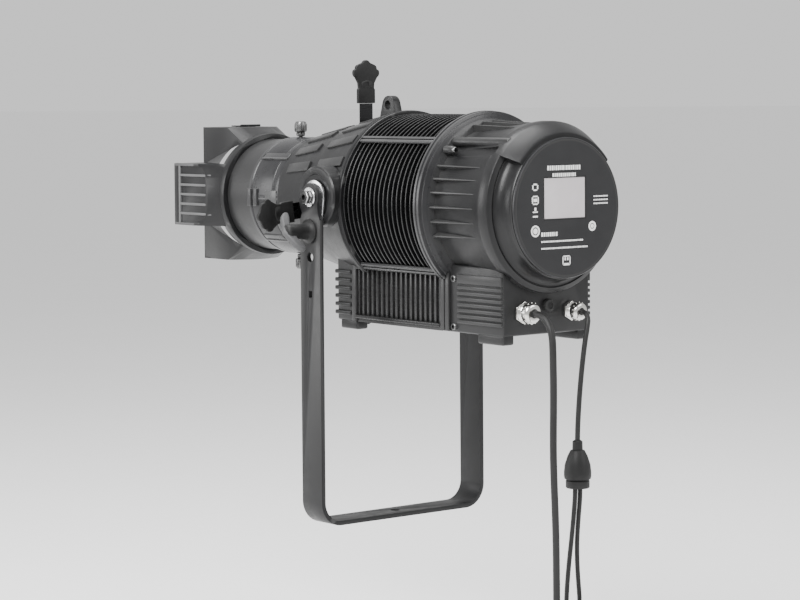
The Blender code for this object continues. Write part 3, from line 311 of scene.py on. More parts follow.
# Modelling steps
def deselect():
    if bpy.context.object and bpy.context.object.mode != "OBJECT":
        bpy.ops.object.mode_set(mode="OBJECT")
    bpy.ops.object.select_all(action="DESELECT")


def take(obj):
    deselect()
    obj.select_set(True)
    bpy.context.view_layer.objects.active = obj


def modify(obj, kind, **settings):
    take(obj)
    step = obj.modifiers.new(kind.lower(), kind)
    for key, value in settings.items():
        setattr(step, key, value)
    bpy.ops.object.modifier_apply(modifier=step.name)


def bake(obj, matrix=None):
    # put the place in the mesh
    if matrix is not None:
        obj.matrix_world = matrix
    take(obj)
    bpy.ops.object.transform_apply(location=True, rotation=True, scale=True)
    return obj


def cleanUp(obj, merge=0.00002):
    take(obj)
    bpy.ops.object.mode_set(mode="EDIT")
    bpy.ops.mesh.select_all(action="SELECT")
    bpy.ops.mesh.remove_doubles(threshold=merge)
    bpy.ops.mesh.normals_make_consistent(inside=False)
    bpy.ops.object.mode_set(mode="OBJECT")


def soften(obj, width, segments=2, angle=30):
    modify(obj, "BEVEL", width=width, segments=segments, limit_method="ANGLE", angle_limit=radians(angle),
           harden_normals=False)


def work(obj, tool, how):
    modify(obj, "BOOLEAN", object=tool, operation=how, solver="EXACT")
    bpy.data.objects.remove(tool, do_unlink=True)
    cleanUp(obj)
    return obj


def cut(obj, *tools):
    for tool in tools:
        work(obj, tool, "DIFFERENCE")
    return obj


def weld(obj, *tools):
    for tool in tools:
        work(obj, tool, "UNION")
    return obj


def gather(name, pieces):
    # several loose pieces as one object
    deselect()
    for piece in pieces:
        piece.select_set(True)
    bpy.context.view_layer.objects.active = pieces[0]
    if len(pieces) > 1:
        bpy.ops.object.join()
    pieces[0].name = name
    return pieces[0]


def copied(obj, matrix):
    twin = obj.copy()
    twin.data = obj.data.copy()
    bpy.context.scene.collection.objects.link(twin)
    return bake(twin, matrix)


lays = {
    "Y": Matrix.Rotation(-pi / 2, 4, "X"),
    "X": Matrix.Rotation(pi / 2, 4, "Y"),
    "-X": Matrix.Rotation(-pi / 2, 4, "Y"),
    "Z": Matrix.Identity(4),
    "-Z": Matrix.Rotation(pi, 4, "X"),
}


def onAxis(x=0.0, y=0.0, z=0.0):
    return Vector((x, y, axisZ + z))


def turned(name, profile, along="Y", place=None, around=96, closed=False, edge=0.0, edgeSteps=2):
    # a circle pulled along its axis, resized at each step of the profile (radius, height)
    deselect()
    radius, height = profile[0]
    bpy.ops.mesh.primitive_circle_add(vertices=around, radius=radius, location=(0, 0, height))
    obj = bake(bpy.context.object)
    obj.name = name
    bpy.ops.object.mode_set(mode="EDIT")
    bpy.ops.mesh.select_all(action="SELECT")
    if not closed:
        bpy.ops.mesh.edge_face_add()
    for nextRadius, nextHeight in profile[1:] + (profile[:1] if closed else []):
        bpy.ops.mesh.extrude_region_move(TRANSFORM_OT_translate={"value": (0, 0, nextHeight - height)})
        if abs(nextRadius - radius) > 1e-9:
            grow = nextRadius / radius
            bpy.ops.transform.resize(value=(grow, grow, 1), center_override=(0, 0, nextHeight))
        radius, height = nextRadius, nextHeight
    bpy.ops.object.mode_set(mode="OBJECT")
    cleanUp(obj)
    if edge:
        soften(obj, edge, edgeSteps)
    return bake(obj, Matrix.Translation(place if place is not None else onAxis()) @ lays[along])


def block(name, low, high, edge=0.0, edgeSteps=2):
    deselect()
    middle = [(a + b) / 2 for a, b in zip(low, high)]
    bpy.ops.mesh.primitive_cube_add(size=1, location=middle, scale=[b - a for a, b in zip(low, high)])
    obj = bpy.context.object
    obj.name = name
    bake(obj)
    if edge:
        soften(obj, edge, edgeSteps)
    return obj


def slab(name, outline, thick, matrix, edge=0.0, edgeSteps=2):
    # an outline drawn vertex by vertex, filled and pulled to its thickness about its own plane
    deselect()
    bpy.ops.mesh.primitive_plane_add(size=0.01, location=(0, 0, 0))
    obj = bpy.context.object
    obj.name = name
    bpy.ops.object.mode_set(mode="EDIT")
    bpy.ops.mesh.select_all(action="SELECT")
    bpy.ops.mesh.merge(type="CENTER")
    bpy.ops.transform.translate(value=(*outline[0], -thick / 2))
    ends = outline[1:] + outline[:1]
    for start, end in zip(outline, ends):
        bpy.ops.mesh.extrude_vertices_move(TRANSFORM_OT_translate={"value": (end[0] - start[0], end[1] - start[1], 0)})
    bpy.ops.mesh.select_all(action="SELECT")
    bpy.ops.mesh.remove_doubles(threshold=0.000005)
    bpy.ops.mesh.edge_face_add()
    bpy.ops.mesh.extrude_region_move(TRANSFORM_OT_translate={"value": (0, 0, thick)})
    bpy.ops.mesh.select_all(action="SELECT")
    bpy.ops.mesh.normals_make_consistent(inside=False)
    bpy.ops.object.mode_set(mode="OBJECT")
    if edge:
        soften(obj, edge, edgeSteps)
    return bake(obj, matrix)


def facing(normal, place=(0, 0, 0)):
    # an outline's plane: X has u along Y and v along Z, Y has u along X and v along Z, Z has u along X and v along Y
    rows = {"X": ((0, 0, 1), (1, 0, 0), (0, 1, 0)), "Y": ((1, 0, 0), (0, 0, -1), (0, 1, 0)),
            "Z": ((1, 0, 0), (0, 1, 0), (0, 0, 1))}[normal]
    return Matrix.Translation(place) @ Matrix([(*row, 0) for row in rows] + [(0, 0, 0, 1)])


def arc(cu, cv, radius, start, stop, steps):
    return [(cu + radius * cos(radians(start + (stop - start) * i / steps)),
             cv + radius * sin(radians(start + (stop - start) * i / steps))) for i in range(steps + 1)]


def about(angle, place=None):
    # turned about the optical axis, 0 up and positive towards +X
    centre = Matrix.Translation(place if place is not None else onAxis())
    return centre @ Matrix.Rotation(radians(angle), 4, "Y") @ centre.inverted()


def finished(obj, body, finish, slot, *nodes, angle=32):
    take(obj)
    bpy.ops.object.shade_smooth_by_angle(angle=radians(angle))
    obj.data.materials.clear()
    obj.data.materials.append(paints[finish])
    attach(obj, body)
    if nodes:
        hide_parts(*nodes)
    return obj


# Cords: each route is where the part has it
cordRoutes = {
    "power": [
        (0.0410, 0.3335, 0.2960), (0.0410, 0.3444, 0.2941), (0.0411, 0.3541, 0.2885), (0.0412, 0.3612, 0.2800),
        (0.0413, 0.3650, 0.2690), (0.0413, 0.3662, 0.2550), (0.0410, 0.3664, 0.2350), (0.0406, 0.3664, 0.2100),
        (0.0408, 0.3664, 0.1800), (0.0413, 0.3664, 0.1500), (0.0413, 0.3664, 0.1200), (0.0402, 0.3664, 0.0850),
        (0.0387, 0.3664, 0.0500), (0.0377, 0.3664, 0.0150), (0.0373, 0.3664, -0.0200), (0.0372, 0.3664, -0.0550),
        (0.0372, 0.3664, -0.0900),
    ],
    "signal": [
        (-0.0380, 0.3335, 0.2940), (-0.0376, 0.3394, 0.2927), (-0.0365, 0.3442, 0.2890), (-0.0350, 0.3470, 0.2836),
        (-0.0328, 0.3479, 0.2750), (-0.0290, 0.3480, 0.2580), (-0.0250, 0.3480, 0.2350), (-0.0212, 0.3480, 0.2080),
        (-0.0182, 0.3480, 0.1800), (-0.0162, 0.3480, 0.1540), (-0.0155, 0.3480, 0.1360),
    ],
    "in": [(-0.0113, 0.3480, 0.0757), (-0.0104, 0.3480, 0.0600), (-0.0074, 0.3482, 0.0350),
           (-0.0038, 0.3485, 0.0100), (0.0002, 0.3488, -0.0150), (0.0034, 0.3490, -0.0400),
           (0.0050, 0.3490, -0.0600), (0.0054, 0.3490, -0.0800)],
    "out": [(-0.0197, 0.3480, 0.0757), (-0.0190, 0.3480, 0.0600), (-0.0164, 0.3478, 0.0350),
            (-0.0146, 0.3475, 0.0100), (-0.0148, 0.3472, -0.0150), (-0.0166, 0.3470, -0.0400),
            (-0.0184, 0.3470, -0.0600), (-0.0188, 0.3470, -0.0800)],
}
cordSizes = {"power": 0.009, "signal": 0.0066, "in": 0.0060, "out": 0.0060}
coil = {"radius": 0.052, "turns": 3}


def smoothRoute(points, spacing):
    p = [Vector(q) for q in points]
    p = [2 * p[0] - p[1]] + p + [2 * p[-1] - p[-2]]
    found = []
    for a, b, c, d in zip(p, p[1:], p[2:], p[3:]):
        count = max(1, round((c - b).length / spacing))
        for i in range(count):
            t = i / count
            found.append(0.5 * (2 * b + (c - a) * t + (2 * a - 5 * b + 4 * c - d) * t**2
                                + (3 * b - a - 3 * c + d) * t**3))
    return found + [p[-2]]


def coilTurns():
    # from the end of the hanging run: down beside the coil, round it, and down to the plug
    x, y, z = cordRoutes["power"][-1]
    size, radius = cordSizes["power"], coil["radius"]
    level = z - gap - sqrt((radius + size / 2)**2 - (radius - size / 2)**2)
    points = [Vector((x, y, z + (level - z) * i / 6)) for i in range(1, 6)]
    steps = 40
    for i in range(coil["turns"] * steps + 1):
        turn = 2 * pi * i / steps
        points.append(Vector((x - radius + radius * cos(turn), y + size * turn / (2 * pi), level - radius * sin(turn))))
    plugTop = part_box("power_plug")[1][2] - 0.002
    points += [Vector((x, y + coil["turns"] * size, level + (plugTop - level) * i / 6)) for i in range(1, 7)]
    return points, Vector((x - radius, y + coil["turns"] * size / 2, level))


def lengthOf(points):
    return sum((b - a).length for a, b in zip(points, points[1:]))


def tube(name, points, size):
    # a round tube along a line, made a mesh
    curve = bpy.data.curves.new(name, "CURVE")
    curve.dimensions = "3D"
    curve.bevel_depth = size / 2
    curve.bevel_resolution = 5
    curve.use_fill_caps = True
    spline = curve.splines.new("POLY")
    spline.points.add(len(points) - 1)
    for point, place in zip(spline.points, points):
        point.co = (*place, 1)
    obj = bpy.data.objects.new(name, curve)
    bpy.context.scene.collection.objects.link(obj)
    take(obj)
    bpy.ops.object.convert(target="MESH")
    cleanUp(obj, 0.000005)
    return obj


turns, coilMiddle = coilTurns()
powerPoints = smoothRoute(cordRoutes["power"], 0.007)[:-1] + [Vector(cordRoutes["power"][-1])] + turns
linePoints = {word: smoothRoute(route, 0.006) for word, route in cordRoutes.items() if word != "power"}
powerCord = tube("powerCord", powerPoints, cordSizes["power"])
cordPieces = {word: tube(f"{word}Cord", points, cordSizes[word]) for word, points in linePoints.items()}


def stageLights():
    # a pale floor under all that hangs, soft boxes round the head and an even surround
    lowest = cadBounds[0][2]
    deselect()
    bpy.ops.mesh.primitive_plane_add(size=240, location=(0, 0, lowest - 0.02))
    floor = bpy.context.object
    floor.name = "floor"
    material, tree, shader = startFinish("floorPaper", 0.9, 0.0)
    place = objectPlace(tree)
    tree.links.new(mixColour(tree, noise(tree, place, 3, 3), (0.93, 0.93, 0.93), (0.95, 0.95, 0.95)),
                   shader.inputs["Base Color"])
    floor.data.materials.append(material)
    boxes = {
        "keyBox": {"place": (1.9, 0.9, 2.1), "size": 1.3, "power": 120},
        "rearBox": {"place": (-1.3, 2.6, 1.9), "size": 1.4, "power": 40},
        "topBox": {"place": (0.1, -0.2, 2.7), "size": 1.8, "power": 95},
        "frontBox": {"place": (2.3, -1.9, 1.0), "size": 1.2, "power": 32},
    }
    aim = onAxis()
    for name, look in boxes.items():
        light = bpy.data.lights.new(name, "AREA")
        light.shape = "SQUARE"
        light.size = look["size"]
        light.energy = look["power"]
        lamp = bpy.data.objects.new(name, light)
        bpy.context.scene.collection.objects.link(lamp)
        lamp.location = look["place"]
        lamp.rotation_euler = (aim - Vector(look["place"])).to_track_quat("-Z", "Y").to_euler()
    world = bpy.data.worlds.new("surround")
    bpy.context.scene.world = world
    world.use_nodes = True
    tree = world.node_tree
    background = tree.nodes["Background"]
    background.inputs["Color"].default_value = (1, 1, 1, 1)
    background.inputs["Strength"].default_value = 0.9


stageLights()
print("stage set")
boxLow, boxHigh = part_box("bottom_plate")
lowerBox = {"half": boxHigh[0], "bottom": boxLow[2] - axisZ, "top": -0.084, "rail": 0.0045}


def boxRoom(low, high):
    # the flat that the lower box takes out of the round pieces above it
    wide = lowerBox["half"] + lowerBox["rail"] + gap
    return block("boxRoom", onAxis(-wide, low, lowerBox["bottom"] - 0.02), onAxis(wide, high, lowerBox["top"] + gap))


# Heat sink: thin round fins on a core, bars across their tips and a stepped ring behind
finLow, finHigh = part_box("fin_stack")
ringLow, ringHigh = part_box("rear_ring")
heatSink = {"fins": 17, "thick": 0.0020, "core": 0.099, "bore": 0.072, "edge": 0.0005, "barWide": 0.0105,
            "barTall": 0.0034, "barGroove": 0.0022}


def makeHeatSink():
    look = heatSink
    radius, edge, thick = finHigh[0], look["edge"], look["thick"]
    pitch = (finHigh[1] - finLow[1] - thick) / (look["fins"] - 1)
    profile = [(look["bore"], finLow[1])]
    for i in range(look["fins"]):
        front = finLow[1] + i * pitch
        rear = front + thick
        profile += [(look["core"], front)] if i else []
        profile += [(radius - edge, front), (radius, front + edge), (radius, rear - edge), (radius - edge, rear)]
        profile += [(look["core"], rear)] if i < look["fins"] - 1 else []
    profile.append((look["bore"], finHigh[1]))
    fins = turned("coolingFins", profile, around=128, closed=True)
    cut(fins, boxRoom(finLow[1] - 0.01, finHigh[1] + 0.01))
    finished(fins, "head", "finAnodised", "fin_anodised", "fin_stack")
    low = radius + gap
    for i in range(4):
        half, tall, groove = look["barWide"] / 2, look["barTall"], look["barGroove"] / 2
        outline = [(-half, 0), (half, 0), (half, tall - 0.0008), (half - 0.0008, tall), (groove, tall),
                   (groove, tall - 0.0016), (-groove, tall - 0.0016), (-groove, tall), (0.0008 - half, tall),
                   (-half, tall - 0.0008)]
        bar = slab(f"tieBar{i + 1}", outline, finHigh[1] - finLow[1],
                   facing("Y", onAxis(0, (finLow[1] + finHigh[1]) / 2, low)), 0.0003)
        bake(bar, about(45 + 90 * i))
        finished(bar, "head", "ringPaint", "cast_paint", f"tie_bar_{i + 1}")
    front, rear, outer = ringLow[1], ringHigh[1], ringHigh[0]
    ring = turned("rearRing", [
        (0.080, front), (outer - 0.0015, front), (outer, front + 0.0015), (outer, front + 0.0050),
        (outer - 0.0012, front + 0.0058), (outer - 0.0012, front + 0.0072), (outer - 0.0004, front + 0.0080),
        (outer - 0.0004, front + 0.0112), (outer - 0.0040, front + 0.0124), (outer - 0.0044, front + 0.0150),
        (outer - 0.0090, rear - 0.0012), (outer - 0.0110, rear), (0.080, rear)], around=160, closed=True)
    cut(ring, boxRoom(front - 0.01, rear + 0.01))
    finished(ring, "head", "ringPaint", "cast_paint", "rear_ring")


def screwHead(name, radius, tall, along, place, across=0.5):
    # a socket screw: a chamfered head with a hexagon sunk in it
    head = turned(name, [(radius, 0), (radius, tall * 0.8), (radius * 0.86, tall)], along, place, 24)
    socket = turned(name + "Socket", [(radius * across, tall * 0.35), (radius * across, tall * 1.6)], along, place, 6)
    return cut(head, socket)


makeHeatSink()
print("heat sink done")

# Rear casting: the round ribbed housing, its hood over the panel and the rear of the lower box
panelLow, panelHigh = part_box("display_panel")
rearCasting = {"neck": 0.0985, "shoulder": 0.1075, "shoulderY": 0.3195, "drum": 0.0886, "wall": 0.004,
               "ribWide": 0.0042, "ribEnd": 0.303, "sideRibs": (-29, -19.5, -10, 0, 10, 20), "topRibs": (-18, -9, 0, 9, 18),
               "hoodHalf": 52, "boxFront": 0.190, "boxRear": 0.309, "slats": 7}


def makeRearCasting():
    look = rearCasting
    front = ringHigh[1] + gap
    rear = panelLow[1] - gap
    neck, shoulder, drum, step = look["neck"], look["shoulder"], look["drum"], look["shoulderY"]
    channel = [(drum + 0.0006 + 0.0088 * (1 - sin(radians(t))), step + 0.0020 + 0.0185 * (1 - cos(radians(t))))
               for t in range(0, 91, 10)]
    outside = [(neck, front), (neck + 0.0022, front + 0.028), (shoulder - 0.0016, step - 0.0200),
               (shoulder - 0.0004, step - 0.0178), (shoulder, step - 0.0150), (shoulder, step - 0.0022),
               (shoulder - 0.0008, step - 0.0006), (shoulder - 0.0026, step + 0.0004), (0.1005, step + 0.0022),
               (0.0995, step + 0.0010), (0.0985, step + 0.0010)] + channel + [(drum, rear - 0.0010), (drum - 0.0008, rear)]
    inside = [(r - look["wall"], y) for r, y in ((drum, rear), (drum, step - 0.004), (shoulder - 0.004, step - 0.0220),
                                                (neck, front))]
    shell = turned("rearCasting", outside + inside, around=160, closed=True)
    hoodParts = turned("hoodRing", [(drum - 0.001, rear - 0.0004), (drum + 0.0042, rear - 0.0004),
                                    (drum + 0.0060, rear - 0.0018), (shoulder - 0.0012, step + 0.0022),
                                    (shoulder - 0.0002, step + 0.0004), (shoulder - 0.0002, step - 0.006),
                                    (drum - 0.001, step - 0.006)], around=160, closed=True)
    fan = slab("hoodFan", [(0, 0)] + arc(0, 0, 0.16, 90 - look["hoodHalf"], 90 + look["hoodHalf"], 12), 0.12,
               facing("Y", onAxis(y=step)))
    work(hoodParts, fan, "INTERSECT")
    soften(hoodParts, 0.0016, 3, 50)
    weld(shell, hoodParts)
    for side in (-1, 1):                    # a long groove at each upper quarter, with a round ridge above it
        groove = block("quarterGroove", onAxis(-0.0075, front - 0.01, 0.1005), onAxis(0.0075, step - 0.012, 0.125), 0.003)
        cut(shell, bake(groove, about(side * 48)))
        ridge = turned("quarterRidge", [(0.0066, front + 0.001), (0.0066, step - 0.006), (0.0058, step - 0.0035),
                                        (0.0035, step - 0.0015)], place=onAxis(z=0.1028), around=32)
        weld(shell, bake(ridge, about(side * 38)))
    ribs = []
    angles = [s * (90 + a) for s in (-1, 1) for a in look["sideRibs"]] + list(look["topRibs"])
    top, low = shoulder + 0.0002, neck - 0.003
    for i, angle in enumerate(angles):
        half = look["ribWide"] / 2
        rib = block(f"rib{i}", (-half, front + 0.0005, low), (half, look["ribEnd"], top))
        for corner in rib.data.vertices:    # it narrows and sinks towards its rear end
            if corner.co.y > front + 0.01:
                corner.co.x *= 0.12
                corner.co.z -= 0.0030 if corner.co.z > (low + top) / 2 else 0.0
            elif corner.co.z > (low + top) / 2:
                corner.co.x *= 0.55
        soften(rib, 0.0004, 1)
        ribs.append(bake(rib, Matrix.Translation(onAxis()) @ Matrix.Rotation(radians(angle), 4, "Y")))
    ribSet = gather("housingRibs", ribs)
    cut(shell, block("boxSeat", onAxis(-0.0719, front - 0.001, -0.2), onAxis(0.0719, look["boxRear"] - 0.001, -0.0845)))
    finished(shell, "head", "castPaint", "cast_paint", "rear_housing")
    finished(ribSet, "head", "castPaint", "cast_paint")
    for side in (-1, 1):
        boss = turned(f"tieBoss{side}", [(0.0052, front + 0.0005), (0.0052, front + 0.014), (0.0040, front + 0.0165)],
                      place=onAxis(z=0.1070), around=28)
        finished(bake(boss, about(side * 48)), "head", "castPaint", "cast_paint")
        screw = screwHead(f"tieScrew{side}", 0.0038, 0.0034, "Y", onAxis(0, front + 0.0166, 0.1070))
        finished(bake(screw, about(side * 48)), "head", "screwBlack", "cast_paint")
    makeRearBox()


def makeRearBox():
    look = rearCasting
    half, bottom, top = lowerBox["half"], lowerBox["bottom"], lowerBox["top"]
    front, rear = look["boxFront"], look["boxRear"]
    body = block("rearBox", onAxis(-half, front, bottom), onAxis(half, rear, top + 0.010), 0.0024, 3)
    drumSeat = turned("drumSeat", [(look["drum"] - 0.003, front - 0.01), (look["drum"] - 0.003, rear + 0.01)], around=96)
    cut(body, drumSeat)
    inside = half - look["wall"]
    cut(body, block("rearBoxRoom", onAxis(-inside, front - 0.01, bottom + look["wall"]),
                    onAxis(inside, rear - look["wall"], top - 0.006)))
    finished(body, "head", "castPaint", "cast_paint")
    pieces = []
    low, high = bottom + 0.012, top - 0.0010
    tallest = 0.0115
    pitch = (high - tallest - low) / look["slats"]
    for side in (-1, 1):
        spans = [(low + pitch * i, low + pitch * (i + 0.62)) for i in range(look["slats"])] + [(high - tallest, high)]
        for i, (z0, z1) in enumerate(spans):
            xs = sorted((side * (half - 0.001), side * (half + 0.0030)))
            pieces.append(block(f"slat{side}{i}", onAxis(xs[0], front + 0.033, z0), onAxis(xs[1], rear - 0.0006, z1), 0.0009))
        xs = sorted((side * (half - 0.001), side * (half + 0.0036)))
        for i, (y0, y1) in enumerate(((front, front + 0.0085), (front + 0.0100, front + 0.0175))):
            pieces.append(block(f"strip{side}{i}", onAxis(xs[0], y0, bottom + 0.001), onAxis(xs[1], y1, top), 0.0010))
        xs = sorted((side * (half - 0.019), side * (half - 0.0006)))
        foot = block(f"rearFoot{side}", onAxis(xs[0], rear - 0.050, bottom - 0.011), onAxis(xs[1], rear - 0.001, bottom + 0.002), 0.0026, 3)
        pieces.append(foot)
    slats = gather("rearBoxSlats", pieces)
    finished(slats, "head", "castPaint", "cast_paint")
    for side in (-1, 1):
        for i, z in enumerate((bottom + 0.007, top - 0.007)):
            screw = screwHead(f"boxScrew{side}{i}", 0.0042, 0.0030, "X" if side > 0 else "-X",
                              onAxis(side * 0, front + 0.0252, z) + Vector((side * half, 0, 0)))
            finished(screw, "head", "screwBlack", "cast_paint")


makeRearCasting()
print("rear casting done")

# Rear panel: the film, its window and the plain marks printed on it (bars, dots and frames only)
panelPrint = {"proud": 0.00012, "line": 0.0009}


def makePanel():
    centre = middleOf("touch_screen")
    screenLow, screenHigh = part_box("touch_screen")
    rear, front = panelHigh[1], panelLow[1]
    radius = panelHigh[0]
    disc = turned("rearPanel", [(radius - 0.0012, front), (radius, front + 0.0009), (radius, rear - 0.0010),
                                (radius - 0.0010, rear)], around=160)
    cut(disc, block("window", (screenLow[0] - gap, front - 0.01, screenLow[2] - gap),
                    (screenHigh[0] + gap, rear + 0.01, screenHigh[2] + gap)))
    finished(disc, "head", "panelFilm", "panel_film", "display_panel")
    rim = turned("panelGasket", [(radius - 0.0042, rear), (radius - 0.0030, rear + 0.0002), (radius - 0.0022, rear)],
                 around=160, closed=True)
    finished(rim, "head", "mouldedBlack", "moulded_black")
    marks = []

    def bar(x0, x1, z, tall):
        low, high = onAxis(min(x0, x1), rear - 0.0002, z - tall / 2), onAxis(max(x0, x1), rear + panelPrint["proud"], z + tall / 2)
        marks.append(block("mark", low, high))

    def words(x0, x1, z, tall, widths, space=0.0011):
        # a row of plain blocks as long as a line of print; the widths repeat
        x, i = x0, 0
        while x - widths[i % len(widths)] > x1:
            bar(x, x - widths[i % len(widths)], z, tall)
            x -= widths[i % len(widths)] + space
            i += 1

    words(0.0330, -0.0230, 0.0500, 0.0056, (0.0028, 0.0022, 0.0030, 0.0012, 0.0026))
    words(0.0245, -0.0150, 0.0412, 0.0044, (0.0024, 0.0018, 0.0026, 0.0020))
    words(0.0435, 0.0160, -0.0315, 0.0050, (0.0030, 0.0024, 0.0014, 0.0026))
    words(0.0435, -0.0260, -0.0405, 0.0020, (0.0020, 0.0010, 0.0016, 0.0026), 0.0006)
    words(0.0435, -0.0360, -0.0490, 0.0020, (0.0012, 0.0022, 0.0018, 0.0008), 0.0006)
    for z in (0.0130, 0.0085, 0.0040):
        words(-0.0440, -0.0690, z, 0.0017, (0.0018, 0.0010, 0.0022, 0.0014), 0.0006)
    for x, z, radiusOut, radiusIn in ((0.0530, -0.0270, 0.0072, 0.0050), (-0.0415, -0.0240, 0.0062, 0.0036)):
        flat = panelPrint["proud"]
        marks.append(turned("dot", [(radiusIn, rear - 0.0002), (radiusOut, rear - 0.0002), (radiusOut, rear + flat),
                                    (radiusIn, rear + flat)], place=onAxis(x, 0, z), around=40, closed=True))
        marks.append(turned("dotMiddle", [(radiusIn * 0.72, rear - 0.0002), (radiusIn * 0.72, rear + flat)],
                            place=onAxis(x, 0, z), around=32))

    def frameMark(x, z, wide, tall, line):
        for x0, x1, zz, t in ((x + wide / 2, x - wide / 2, z + tall / 2 - line / 2, line),
                              (x + wide / 2, x - wide / 2, z - tall / 2 + line / 2, line),
                              (x + wide / 2, x + wide / 2 - line, z, tall), (x - wide / 2 + line, x - wide / 2, z, tall)):
            bar(x0, x1, zz, t)

    frameMark(0.0530, 0.0110, 0.0110, 0.0110, 0.0016)
    bar(0.0560, 0.0500, 0.0110, 0.0040)
    frameMark(0.0530, 0.0270, 0.0096, 0.0088, 0.0018)
    bar(0.0570, 0.0490, -0.0035, 0.0016)
    bar(0.0545, 0.0515, 0.0000, 0.0040)
    bar(0.0570, 0.0490, -0.0090, 0.0020)
    frameMark(0.0020, -0.0650, 0.0130, 0.0120, 0.0014)
    bar(0.0052, 0.0030, -0.0630, 0.0036)
    bar(0.0010, -0.0012, -0.0630, 0.0036)
    bar(0.0060, -0.0020, -0.0690, 0.0014)
    finished(gather("panelMarks", marks), "head", "printInk", "panel_film")
    bezel = block("screenBezel", (screenLow[0], rear - 0.0012, screenLow[2]), (screenHigh[0], rear - 0.0003, screenHigh[2]))
    cut(bezel, block("bezelWindow", (screenLow[0] + 0.0012, rear - 0.01, screenLow[2] + 0.0012),
                     (screenHigh[0] - 0.0012, rear + 0.01, screenHigh[2] - 0.0012)))
    finished(bezel, "head", "mouldedBlack", "moulded_black")
    return centre


makePanel()
print("rear panel done")

# Glands: hexagon and threaded collar, then a ribbed dome nut; and the breather between them
glandLook = {"ribs": 14, "power": (0.041, -0.130, 0.0145, 0.0045), "signal": (-0.038, -0.132, 0.0125, 0.0033)}


def makeGlands():
    for word in ("power", "signal"):
        x, z, radius, cordRadius = glandLook[word]
        low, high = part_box(f"gland_body_{word}")
        start, end = low[1], high[1]
        place = onAxis(x, 0, z)
        hole = cordRadius + 0.0009
        hexagon = turned(f"{word}GlandHex", [(hole, start), (radius * 0.99, start), (radius * 1.03, start + 0.0008),
                                             (radius * 1.03, start + 0.0046), (radius * 0.98, start + 0.0056),
                                             (hole, start + 0.0056)], place=place, around=6, closed=True, edge=0.0003)
        thread = [(hole, start + 0.0052)]
        y = start + 0.0052
        while y < end - 0.0012:
            thread += [(radius * 0.80, y), (radius * 0.86, y + 0.0006)]
            y += 0.0012
        thread += [(radius * 0.80, end), (hole, end)]
        collar = turned(f"{word}GlandThread", thread, place=place, around=48, closed=True)
        finished(gather(f"{word}GlandBody", [hexagon, collar]), "head", "nickelPlate", "nickel", f"gland_body_{word}")
        nutLow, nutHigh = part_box(f"gland_nut_{word}")
        start, end = nutLow[1], nutHigh[1]
        dome = [(radius * (0.60 + 0.30 * cos(radians(t))), end - 0.0052 + 0.0052 * sin(radians(t))) for t in range(0, 91, 15)]
        nut = turned(f"{word}GlandNut", [(hole, start), (radius * 0.88, start), (radius * 0.92, start + 0.0006)] + dome
                     + [(hole + 0.0006, end), (hole, end - 0.0006)], place=place, around=56, closed=True)
        pieces = [nut]
        for i in range(glandLook["ribs"]):
            rib = block("grip", (-0.0007, start + 0.0007, radius * 0.86), (0.0007, end - 0.0046, radius * 0.965), 0.0003)
            pieces.append(bake(rib, Matrix.Translation(place) @ Matrix.Rotation(2 * pi * i / glandLook["ribs"], 4, "Y")))
        finished(gather(f"{word}GlandNut", pieces), "head", "nickelPlate", "nickel", f"gland_nut_{word}")
        seal = turned(f"{word}Seal", [(cordRadius + 0.0001, end - 0.004), (hole, end - 0.004), (hole, end + 0.0006),
                                      (cordRadius + 0.0001, end + 0.0010)], place=place, around=32, closed=True)
        finished(seal, "head", "cordSheath", "cord_sheath")
    low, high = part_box("vent_plug")
    radius = (high[0] - low[0]) / 2
    vent = turned("breather", [(radius, low[1]), (radius, high[1] - 0.0018), (radius * 0.90, high[1] - 0.0004),
                               (radius * 0.55, high[1]), (radius * 0.50, high[1] - 0.0010)], place=onAxis(0, 0, middleOf("vent_plug").z - axisZ), around=40)
    finished(vent, "head", "mouldedBlack", "moulded_black", "vent_plug")


makeGlands()
print("glands done")

# Front casting: flange, cone with raised pads, pivot bosses, safety lug and the front of the lower box
frontLook = {"nose": -0.144, "tip": -0.150, "noseRadius": 0.084, "coneRadius": 0.1165, "flange": 0.0110, "wall": 0.004,
             "boss": 0.040, "bossFace": 0.1290, "pads": (-62, -44, -26, -9, 9, 26, 44, 62), "boxFront": -0.030, "ribs": 6,
             "lugY": -0.0015, "lugTop": 0.1395, "lugRound": 0.0125, "lugHole": 0.0062, "lugWide": 0.013,
             "gate": -0.0555, "slit": 0.0062, "slitWide": 0.052}


def coneAt(y):
    look = frontLook
    share = (y - look["nose"]) / (finLow[1] - gap - look["flange"] - look["nose"])
    return look["noseRadius"] + (look["coneRadius"] - look["noseRadius"]) * share


